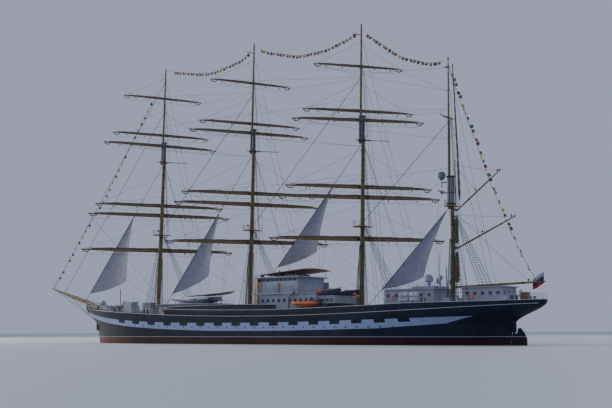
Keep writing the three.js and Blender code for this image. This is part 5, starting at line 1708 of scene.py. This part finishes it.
def make_foredeck():
    """Gear of the forecastle: most of it stands once on each side."""
    parts = [windlass(-40.0, deck_at(-40))]
    for side in (-1, 1):
        parts.append(capstan(-44.6, side * 1.5, deck_at(-44.6)))
        parts.append(cowl(-43.2, side * 2.9, deck_at(-43.2), 1.7))
        parts.append(flanged((-41.9, side * 3.9, deck_at(-42)), (1.1, 0.55), 0.95))
        parts += [bitts(x, side * y, deck_at(x)) for x, y in ((-38.2, 4.9), (-46.2, 1.9), (-27.6, 6.1))]
        parts.append(stairs(-33.0, side * 2.6 - 0.45, side * 2.6 + 0.45, deck_at(-33), 8.15, -1.65))
        parts.append(slab(side, (-37.1, -34.7), (1.8, 3.4), (deck_at(-35), 8.2)))
        parts.append(mushroom(-36.6, side * 4.2, deck_at(-36.6)))
        parts.append(mushroom(-29.2, side * 4.4, deck_at(-29.2), 1.0, 0.3))
        if side < 0:
            parts.append(skylight(-38.3, -36.9, 0.7, deck_at(-37.6)))
        x = np.linspace(-41.2, -47.2, 30)
        parts.append(chain(np.c_[x, side * 1.2 * (1 + 0.05 * (x + 41)), deck_height(x) + 0.12]))
        parts.append(lifebuoy(-22.4, side * 6.7, deck_at(-22) + 0.75))
    staff = rods([-41.7, 0, deck_at(-41.7)], [-41.8, 0, 11.1], 0.07, 8)
    figure = turned([-51.45, 0, 6.3], [-52.35, 0, 8.05], [(0, 0.12), (0.3, 0.3), (0.7, 0.32), (1, 0.1)], 14)
    foot = deck_at(-37)
    belfry = boxes([[-37.0, -0.5, foot], [-37.0, 0.4, foot], [-37.2, -0.6, 8.2]],
                   [[-36.9, -0.4, 8.2], [-36.9, 0.5, 8.2], [-36.7, 0.6, 8.32]])
    bell = spun([(0.24, 0), (0.17, 0.12), (0.13, 0.32), (0.02, 0.38)], (-36.95, 0, 7.75)).painted(BRONZE)
    parts += [staff.painted(BLACK), both(anchor(-46.5, 1.1, 4.4)), figure.painted(BLACK), belfry, bell]
    make("forecastle_gear", joined(*parts), WHITE)


def make_midships():
    """Gear from the well deck to the wheelhouse roof, with the raised strakes of the bulwark: the edge
    of a strake's section follows the rail below and a line of given heights above."""
    parts = []
    for side in (-1, 1):
        # Brackets of the boat deck that carries on aft of the bridge house
        low = np.array([[12.0, side * y, 6.2] for y in (1.5, 4.2)])
        parts.append(rods(low, low + (2.6, 0, 0.75), 0.08, 8))
        parts.append(windows(12.6, 15.2, side * 4.44, 7.5, 4, (0.4, 0.4)))
        parts += [lifebuoy(21.4, side * 6.6, 8.0), lifebuoy(-0.2, side * 4.7, 10.6)]
        parts.append(bitts(19.5, side * 6.0, floor_at(19.5)))
        x = np.linspace(BREAK_FORE + 0.1, 5.2, 32)
        edge, foot = deck_edge(x, RAIL_ROW), rail_height(x) - 0.02
        top = np.interp(x, [-21.9, -20.0, -11.0, -3.0, 5.2], [6.56, 6.83, 6.97, 6.97, 6.82])
        section = ((0.0, foot), (0.0, top), (0.14, top), (0.14, foot))
        strake = np.stack([stacked(x, side * (edge - inset), z) for inset, z in section], 1)
        parts.append(capped(strake if side < 0 else strake[:, ::-1]).painted(HULL))
        cap = tubes(stacked(x, side * (edge - 0.06), top + 0.02), 0.045, 8)
        parts.append(cap.painted(TRIM))
        parts += [mushroom(v, side * 4.6, floor_at(v), 1.5, 0.3) for v in (-4.6, 20.2, 27.6)]
    parts.append(boxes([[11.98, -4.4, 6.9], [11.98, -4.5, 8.08]], [[15.9, 4.4, 8.1], [15.95, 4.5, 8.2]]))
    parts.append(skylight(20.2, 22.8, 1.3, floor_at(21.5), 1.5))
    # Standard compass, signal lockers and searchlights above the wheelhouse
    roof = 11.8
    compass = [(0.28, 0), (0.2, 0.5), (0.24, 1.0), (0.3, 1.1), (0.22, 1.4), (0.02, 1.45)]
    parts.append(spun(compass, (0.4, 0, roof)).painted(BRONZE))
    lamp = [(0.02, 0), (0.3, 0.05), (0.34, 0.3), (0.3, 0.5), (0.02, 0.52)]
    for side in (-1, 1):
        parts.append(spun(lamp, (-0.9, side * 3.2, roof)))
        parts.append(flanged((4.6, side * 2.2, roof), (0.8, 0.5), 0.5))
    make("midship_gear", joined(*parts), WHITE)


RAFT = [
    # share of the length, radius
    (0, 0.2), (0.04, 0.38), (0.48, 0.4), (0.485, 0.43), (0.515, 0.43), (0.52, 0.4), (0.96, 0.38), (1, 0.2),
]
DOME = [
    # radius, height
    (0.35, 0), (0.35, 0.35), (0.7, 0.45), (0.74, 0.8), (0.66, 1.2), (0.45, 1.5), (0.02, 1.62),
]
DOMES = [
    # x, height, share of DOME's size, radius and sides of the stalk, height of its head
    (31.4, 9.7, 1.0, 0.3, 12, 9.8),
    (33.5, 10.2, 0.55, 0.09, 10, 10.3),
]


def make_after_deck():
    """Life rafts in their cradles, domes, poles, the steering wheel and the gear of the poop."""
    parts = []
    for side in (-1, 1):
        y = side * 4.6
        for x in (28.6, 30.5):
            parts += [turned([x, y, z], [x + 1.6, y, z], RAFT, 16).painted(TRIM) for z in (7.15, 7.91)]
        upright = floor_at(30), 7.0
        cradle = [slab(side, (x, x + 0.08), (4.1, 5.1), upright) for x in (28.9, 29.8, 30.8, 31.7)]
        cradle += [slab(side, (x, x + 0.05), (4.14, 5.06), (6.9, 8.35)) for x in (28.9, 32.0)]
        parts.append(joined(*cradle).painted(TRIM))
        parts += [bitts(x, side * out, floor_at(x)) for x, out in ((47.6, 3.2), (33.4, 5.4))]
        parts.append(cowl(34.6, side * 2.2, 8.9, 1.2, 0.22))
        parts.append(lifebuoy(41.6, side * 5.0, floor_at(41.6) + 0.8))
        parts.append(lifebuoy(26.4, side * 2.86, 7.6))
        parts.append(capstan(46.6, side * 1.8, floor_at(46.6)))
        parts += [flanged((x, side * 4.2, floor_at(x)), (0.7, 0.4), 0.8) for x in (36.9, 46.4)]
    for x, z, size, radius, sides, head in DOMES:
        parts.append(spun([(r * size, h * size) for r, h in DOME], (x, 0, z)))
        parts.append(rods([x, 0, 8.9], [x, 0, head], radius, sides))
    poles = rods([[33.95, 1.2, 8.9], [34.0, -1.2, 8.9]], [[33.95, 1.2, 12.4], [34.0, -1.2, 12.6]], 0.12, 10)
    whip = rods([34.0, -1.2, 12.5], [34.02, -1.2, 14.4], 0.08, 8)
    x, deck = 47.2, floor_at(47)
    hub = np.array([x, 0, deck + 1.0])
    rim, spokes = (
        hub + r * stacked(0.0, np.cos(a), np.sin(a))
        for r, a in ((0.62, np.linspace(0, 2 * np.pi, 33)), (0.8, np.arange(8) * np.pi / 4))
    )
    box = boxes([47.3, -0.45, deck], [48.5, 0.45, deck + 1.3])
    wheel = joined(tubes(rim, 0.045, 6), rods(np.tile(hub, (8, 1)), spokes, 0.03, 6), box).painted(VARNISH)
    parts += [poles.painted(TRIM), whip.painted(TRIM), wheel, skylight(36.9, 38.2, 0.7, floor_at(37.5))]
    make("after_deck_gear", joined(*parts), WHITE)


def make_mast_gear():
    """Radome and radar on the jigger, and a lamp on the fore and the main mast."""
    x, ball_x = float(on_mast("jigger", 26)[0]) - 0.55, 34.15
    dome = [(0.02, -0.6), (0.36, -0.54), (0.6, -0.28), (0.67, 0.06), (0.6, 0.4), (0.36, 0.64), (0.02, 0.7)]
    ball = spun(dome, (ball_x, 0, 27.15), 20).painted(GREY)
    bracket = joined(rods([ball_x, 0, 25.2], [ball_x, 0, 26.6], 0.07, 8),
                     rods([x, 0, 26.0], [ball_x, 0, 26.0], 0.08, 8),
                     boxes([33.9, -0.3, 26.5], [34.4, 0.3, 26.62])).painted(BLACK)
    scanner = boxes([33.9, -0.95, 24.5], [34.15, 0.95, 24.75]).painted(WHITE)
    arm = joined(rods([x, 0, 24.3], [34.0, 0, 24.3], 0.08, 8),
                 rods([34.02, 0, 24.2], [34.02, 0, 24.5], 0.14, 10)).painted(BLACK)
    lamps = []
    for mast, z in (("fore", 22.3), ("main", 21.7)):
        foot, head = on_mast(mast, z, -0.95), on_mast(mast, z + 0.4, -0.95)
        lamps.append(turned(foot, head, [(0, 0.12), (0.2, 0.17), (0.8, 0.17), (1, 0.08)], 12).painted(BLACK))
    make("aloft_gear", joined(ball, bracket, scanner, arm, *lamps), GREY)


def bundle(mast, z0, z1, radius, aft, seed):
    """A fore-and-aft sail brailed in to the mast: a lumpy upright roll, tight at each brail.

    The radius is r * (1 - 0.22 b) * taper * (1 + small waves), where b is 1 at each brail."""
    rng = np.random.default_rng(seed)
    z = np.linspace(z0, z1, 60)[:, None]
    angle = np.linspace(2 * np.pi, 0, 18, endpoint=False)[None]
    brail = np.exp(-((((z - z0) % 1.7) - 0.85) / 0.16) ** 2)
    taper = np.clip(np.minimum(z - z0, z1 - z) / 0.5, 0.05, 1) ** 0.5
    wave = 1 + 0.1 * np.sin(3 * angle + 1.3 * z + rng.uniform(0, 6)) + 0.07 * np.sin(7 * angle - 2.1 * z)
    slim = np.interp(z, [z0, (z0 + z1) / 2, z1], [1.0, 1.0, 0.75])
    size = radius * taper * (1 - 0.22 * brail) * wave * slim
    x = on_mast(mast, 0)[0] + z * math.tan(math.radians(MASTS[mast][1])) + aft + size * np.cos(angle)
    grid = stacked(x, size * np.sin(angle) * 0.9, z)
    uv = stacked(z, angle * radius)
    return capped(grid, uv)


def make_spankers():
    """Two brailed spankers on the jigger mast, and the brailed gaff topsail over them."""
    parts = [bundle("jigger", 9.75, 14.7, 0.4, 0.72, 3), bundle("jigger", 15.95, 20.3, 0.36, 0.7, 4)]
    z = np.linspace(22.9, 45.4, 80)
    aft = np.interp(z, [22.9, 27.5, 45.4], [1.3, 1.15, 0.25])
    middle = np.stack([on_mast("jigger", level, off) for level, off in zip(z, aft)])
    size = np.interp(z, [22.9, 23.6, 28.0, 45.4], [0.08, 0.2, 0.16, 0.08]) * (1 + 0.15 * np.sin(4.2 * z))
    make("brailed_spankers", joined(*parts, tubes(middle, size, 12)), FURLED, "root")


GAFF_LINES = {
    # name: how far over the pivot the lines meet the mast, shares of the spar's length where they start
    "spanker_boom": (11.6, (0.82,)), "lower_gaff": (5.2, (0.45, 0.93)), "upper_gaff": (7.2, (0.45, 0.93)),
}


def make_gaff_gear():
    """Topping lifts and peak spans; each hangs from its own spar's swinging axis."""
    for name, (rise, shares) in GAFF_LINES.items():
        heel, peak_x, peak_z, radius, pivot = GAFFS[name]
        run = np.array([peak_x - pivot, 0, peak_z - heel], float)
        feet = np.array([run * share + (0, 0, radius) for share in shares])
        lines = rods(feet, [[0.02, 0, rise]] * len(shares), 0.025, 6)
        blocks = turned(feet, feet + (0, 0, 0.4), [(0, 0.06), (0.4, 0.13), (0.6, 0.13), (1, 0.04)], 8)
        make(f"{name}_lines", joined(lines, blocks).placed(*jigger_place(name)), TAR, name)


# Flags

DRESSING = {
    # name: points along the line, spacing of the flags, spans of the line left bare at each end
    "bow": ([(-63.8, 11.75), (-60.6, 15.4), (-55.3, 21.9), (-47.6, 30.4), (-40.8, 39.9), (-36.0, 46.3),
             (-33.2, 50.2), (-29.4, 55.7)], 1.6, (3.0, 5.0)),
    "fore_main": ([(-29.0, 55.7), (-28.0, 55.2), (-19.9, 53.4), (-16.3, 53.0), (-9.5, 54.05),
                   (-7.7, 54.7), (-5.6, 56.4)], 0.8, (2.0, 2.2)),
    "main_mizzen": ([(-5.2, 56.2), (-3.2, 54.9), (4.9, 52.5), (11.0, 52.5), (17.1, 53.9), (18.9, 55.0)],
                    0.8, (1.5, 2.0)),
    "mizzen_jigger": ([(19.0, 54.8), (20.1, 53.7), (24.6, 50.2), (27.1, 48.3), (32.5, 46.2), (35.6, 46.2)],
                      0.8, (1.6, 1.6)),
    "stern": ([(35.9, 45.6), (37.0, 41.3), (38.8, 36.4), (40.6, 31.5), (42.2, 26.4), (44.9, 19.7),
               (46.5, 15.9), (48.3, 12.2), (49.7, 9.75)], 0.78, (2.0, 1.0)),
}
SIGNALS = [
    # first colour, second colour, pattern
    ("blue", "white", "square"), ("yellow", "blue", "upright"), ("white", "red", "cross"),
    ("yellow", "red", "slant"), ("white", "blue", "cross"), ("red", "yellow", "square"),
    ("black", "yellow", "quarters"), ("blue", "yellow", "level"), ("blue", "red", "upright"),
    ("red", "red", "plain"), ("white", "black", "slant"), ("yellow", "yellow", "plain"),
]
CELLS = 6  # of a flag's pattern, each way
FLAG, FLY = 0.58, 0.92  # height of a signal flag, and its width as a share of that


def pattern(kind):
    """Which of the cells of a square flag take its second colour."""
    i, j = np.meshgrid(np.arange(CELLS), np.arange(CELLS), indexing="ij")
    level, upright = (i >= 2) & (i <= 3), (j >= 2) & (j <= 3)
    kinds = {
        "square": level & upright, "upright": j >= 3, "cross": level | upright, "slant": i + j >= CELLS,
        "quarters": (i < 3) ^ (j < 3), "level": level, "plain": i >= CELLS,
    }
    return kinds[kind].ravel()


def in_colors(sheet, cells, paints):
    """A sheet of cloth painted on both faces: cells numbers the paint of each quad of a face."""
    faces = [face[cells == k] for face in sheet.faces[:2] for k in range(len(paints))]
    numbers = [paint for paint, face in zip(paints * 2, faces) if len(face)]
    return Shape(sheet.points, faces + [sheet.faces[2]], numbers + [paints[0]], sheet.uv)


def flag(corner, hoist, fly, sway, first, second, kind):
    """A flag: u down the hoist and v out along the fly, with a wave that grows with v."""
    side = np.linspace(0, 1, CELLS + 1)
    u, v = np.meshgrid(side, side, indexing="ij")
    normal = unit(np.cross(hoist, fly))
    wave = (0.09 * np.sin(5.5 * v + sway) + 0.05 * np.sin(3 * u + 4 * v + 2 * sway)) * v
    grid = corner + u[..., None] * hoist + v[..., None] * fly + wave[..., None] * normal * np.linalg.norm(fly)
    return in_colors(cloth(grid, 0.012), pattern(kind), [BUNTING[first], BUNTING[second]])


def along_path(path, spots):
    """Points of a path at the given distances from its start."""
    run = np.r_[0, np.cumsum(np.linalg.norm(np.diff(path, axis=0), axis=1))]
    return np.stack([np.interp(spots, run, path[:, k]) for k in range(3)], -1)


def path_length(path):
    """Length of a path from point to point."""
    return np.cumsum(np.linalg.norm(np.diff(path, axis=0), axis=1))[-1]


def smooth_line(points, count):
    """Points along a line through the given ones, evened out and eased."""
    points = np.asarray(points, float)
    line = along_path(points, np.linspace(0, path_length(points), count))
    for _ in range(max(4, count // 5)):
        line[1:-1] = (line[:-2] + 2 * line[1:-1] + line[2:]) / 4
    return line


def make_dressing():
    """Dressing lines: small signal flags bent on along ropes from the bowsprit over the trucks to the
    boom. A flag's hoist lies along the line where that is steep enough, and its fly hangs down."""
    for k, (name, (points, spacing, bare)) in enumerate(DRESSING.items()):
        line = smooth_line([(x, 0, z) for x, z in points], 90)
        flags = []
        for i, spot in enumerate(np.arange(bare[0], path_length(line) - bare[1], spacing)):
            at, to = along_path(line, np.array([spot, spot + FLAG]))
            rising = at[2] < to[2]
            top, hoist = (to, at - to) if rising else (at, to - at)
            if abs(hoist[2]) < 0.6 * FLAG:
                top, hoist = at, to - at
            along = unit(hoist)
            want = np.array([0.45, 0.28 * math.sin(2.3 * i + k), -0.9])
            fly = unit(want - along * (want @ along)) * FLAG * FLY
            first, second, kind = SIGNALS[(5 * i + 3 * k) % len(SIGNALS)]
            flags.append(flag(top, hoist, fly, 1.7 * i, first, second, kind))
        body = None if name == "stern" else "root"
        rope = make(f"dressing_line_{name}", tubes(line, 0.022, 5), HEMP, body)
        piece = make(f"dressing_flags_{name}", joined(*flags), BUNTING["white"], body, angle=60)
        if body is None:
            for hung in (rope, piece):
                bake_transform(hung)


def make_ensign():
    """The ensign on a short staff at the boom's end: three even stripes, hanging in folds. With u down
    and v out from the staff, it droops by 0.95 v^1.3 and its folds are sines that grow with v."""
    x, foot, head = 50.95, 9.75, 10.95
    staff = rods([x, 0, foot], [x, 0, head], 0.04, 8)
    knob = spun([(0.02, -0.05), (0.07, 0), (0.02, 0.05)], (x, 0, head), 10)
    pole = make("ensign_staff", joined(staff, knob), VARNISH, "spanker_boom")
    cells = 30
    side = np.linspace(0, 1, cells + 1)
    u, v = np.meshgrid(side, side, indexing="ij")
    reach, drop = 1.7, 1.6
    out = x - 0.03 - reach * v ** 1.15
    y = 0.13 * np.sin(9.5 * v + 1.2 * u) * v ** 0.5 + 0.04 * np.sin(17 * v)
    z = head - 0.1 - drop * u - 0.95 * v ** 1.3 - 0.12 * np.sin(3.1 * v) * u
    grid = stacked(out, y, z)
    stripes = np.repeat(np.arange(cells), cells) // (cells // 3)
    shape = in_colors(cloth(grid, 0.014), stripes, [BUNTING[name] for name in ("white", "blue", "red")])
    piece = make("ensign", shape, BUNTING["white"], "spanker_boom", angle=60)


# Stage

def make_camera():
    """Seen from off the port quarter, low over the water: 37 degrees abaft the beam."""
    turn, pitch, roll = (math.radians(a) for a in (36.99, 7.64, -0.23))
    distance, aside, height = 171.6, 5.26, 2.37
    focal, width = 943.1, 612  # in pixels of the photo
    ahead = Vector((-math.sin(turn), math.cos(turn), 0))
    right = Vector((math.cos(turn), math.sin(turn), 0))
    up = Vector((0, 0, 1))
    look = ahead * math.cos(pitch) + up * math.sin(pitch)
    over = up * math.cos(pitch) - ahead * math.sin(pitch)
    across = right * math.cos(roll) + over * math.sin(roll)
    upright = over * math.cos(roll) - right * math.sin(roll)
    data = bpy.data.cameras.new("camera")
    data.sensor_width = 36
    data.lens = data.sensor_width * focal / width
    data.clip_end = 500
    camera = bpy.data.objects.new("camera", data)
    place = (right * aside - ahead * distance + up * height) * M
    camera.matrix_world = Matrix((
        (across.x, upright.x, -look.x, place.x),
        (across.y, upright.y, -look.y, place.y),
        (across.z, upright.z, -look.z, place.z),
        (0, 0, 0, 1),
    ))
    bpy.context.scene.collection.objects.link(camera)
    bpy.context.scene.camera = camera


def area_light(name, place, aim, size, power, color=(1, 1, 1)):
    """A round area light at a place, turned to its aim."""
    data = bpy.data.lights.new(name, "AREA")
    data.shape, data.size, data.energy, data.color = "DISK", size, power, color
    light = bpy.data.objects.new(name, data)
    light.location = place
    light.rotation_euler = (Vector(aim) - Vector(place)).to_track_quat("-Z", "Y").to_euler()
    bpy.context.scene.collection.objects.link(light)


def make_stage():
    """A pale level floor at the waterline, a dim blue sky all round, and three area lights."""
    floor_paint = Paint("stage_floor", Roughness=0.55)
    floor_paint.color(rgb(0.60, 0.64, 0.67))
    half = 90.0
    corners = [(-half, -half, 0), (half, -half, 0), (half, half, 0), (-half, half, 0)]
    mesh = bpy.data.meshes.new("stage_floor")
    mesh.from_pydata(corners, [], [(0, 1, 2, 3)])
    mesh.materials.append(floor_paint.material)
    floor = bpy.data.objects.new("stage_floor", mesh)
    bpy.context.scene.collection.objects.link(floor)
    world = bpy.data.worlds.new("studio")
    world.use_nodes = True
    sky = world.node_tree.nodes["Background"].inputs
    sky[0].default_value = (0.69, 0.76, 1.0, 1)
    sky[1].default_value = 0.52
    bpy.context.scene.world = world
    area_light("key", (-26, -5, 10), (0, 0, 2.4), 7, 5200, (1.0, 0.90, 0.76))
    area_light("fill", (14, -24, 9), (0, 0, 2), 12, 500, (0.80, 0.88, 1.0))
    area_light("back", (6, 20, 14), (0, 0, 2), 10, 900)


def cad_paint(name):
    """The paint of a solid: tarred wire for a stay, bronze for a propeller, and the hull's for the rest."""
    if name.endswith("_stay"):
        return TAR
    return BRONZE if name.startswith("propeller") else HULL


make_camera()
make_stage()
make_hull()
make_mouldings()
make_rudder()
make_masts()
make_yards()
make_gaffs()
for sail in SAILS:
    make_sail(sail)
make_shrouds()
make_upper_rigging()
make_braces()
make_falls()
make_bowsprit()
make_houses()
make_side_lights()
make_rails()
make_boats()
make_awnings()
make_foredeck()
make_midships()
make_after_deck()
make_mast_gear()
make_spankers()
make_gaff_gear()
make_dressing()
make_ensign()
for node in frame["nodes"].values():
    for slot in node.material_slots:
        slot.material = PAINTS[cad_paint(node.name)]
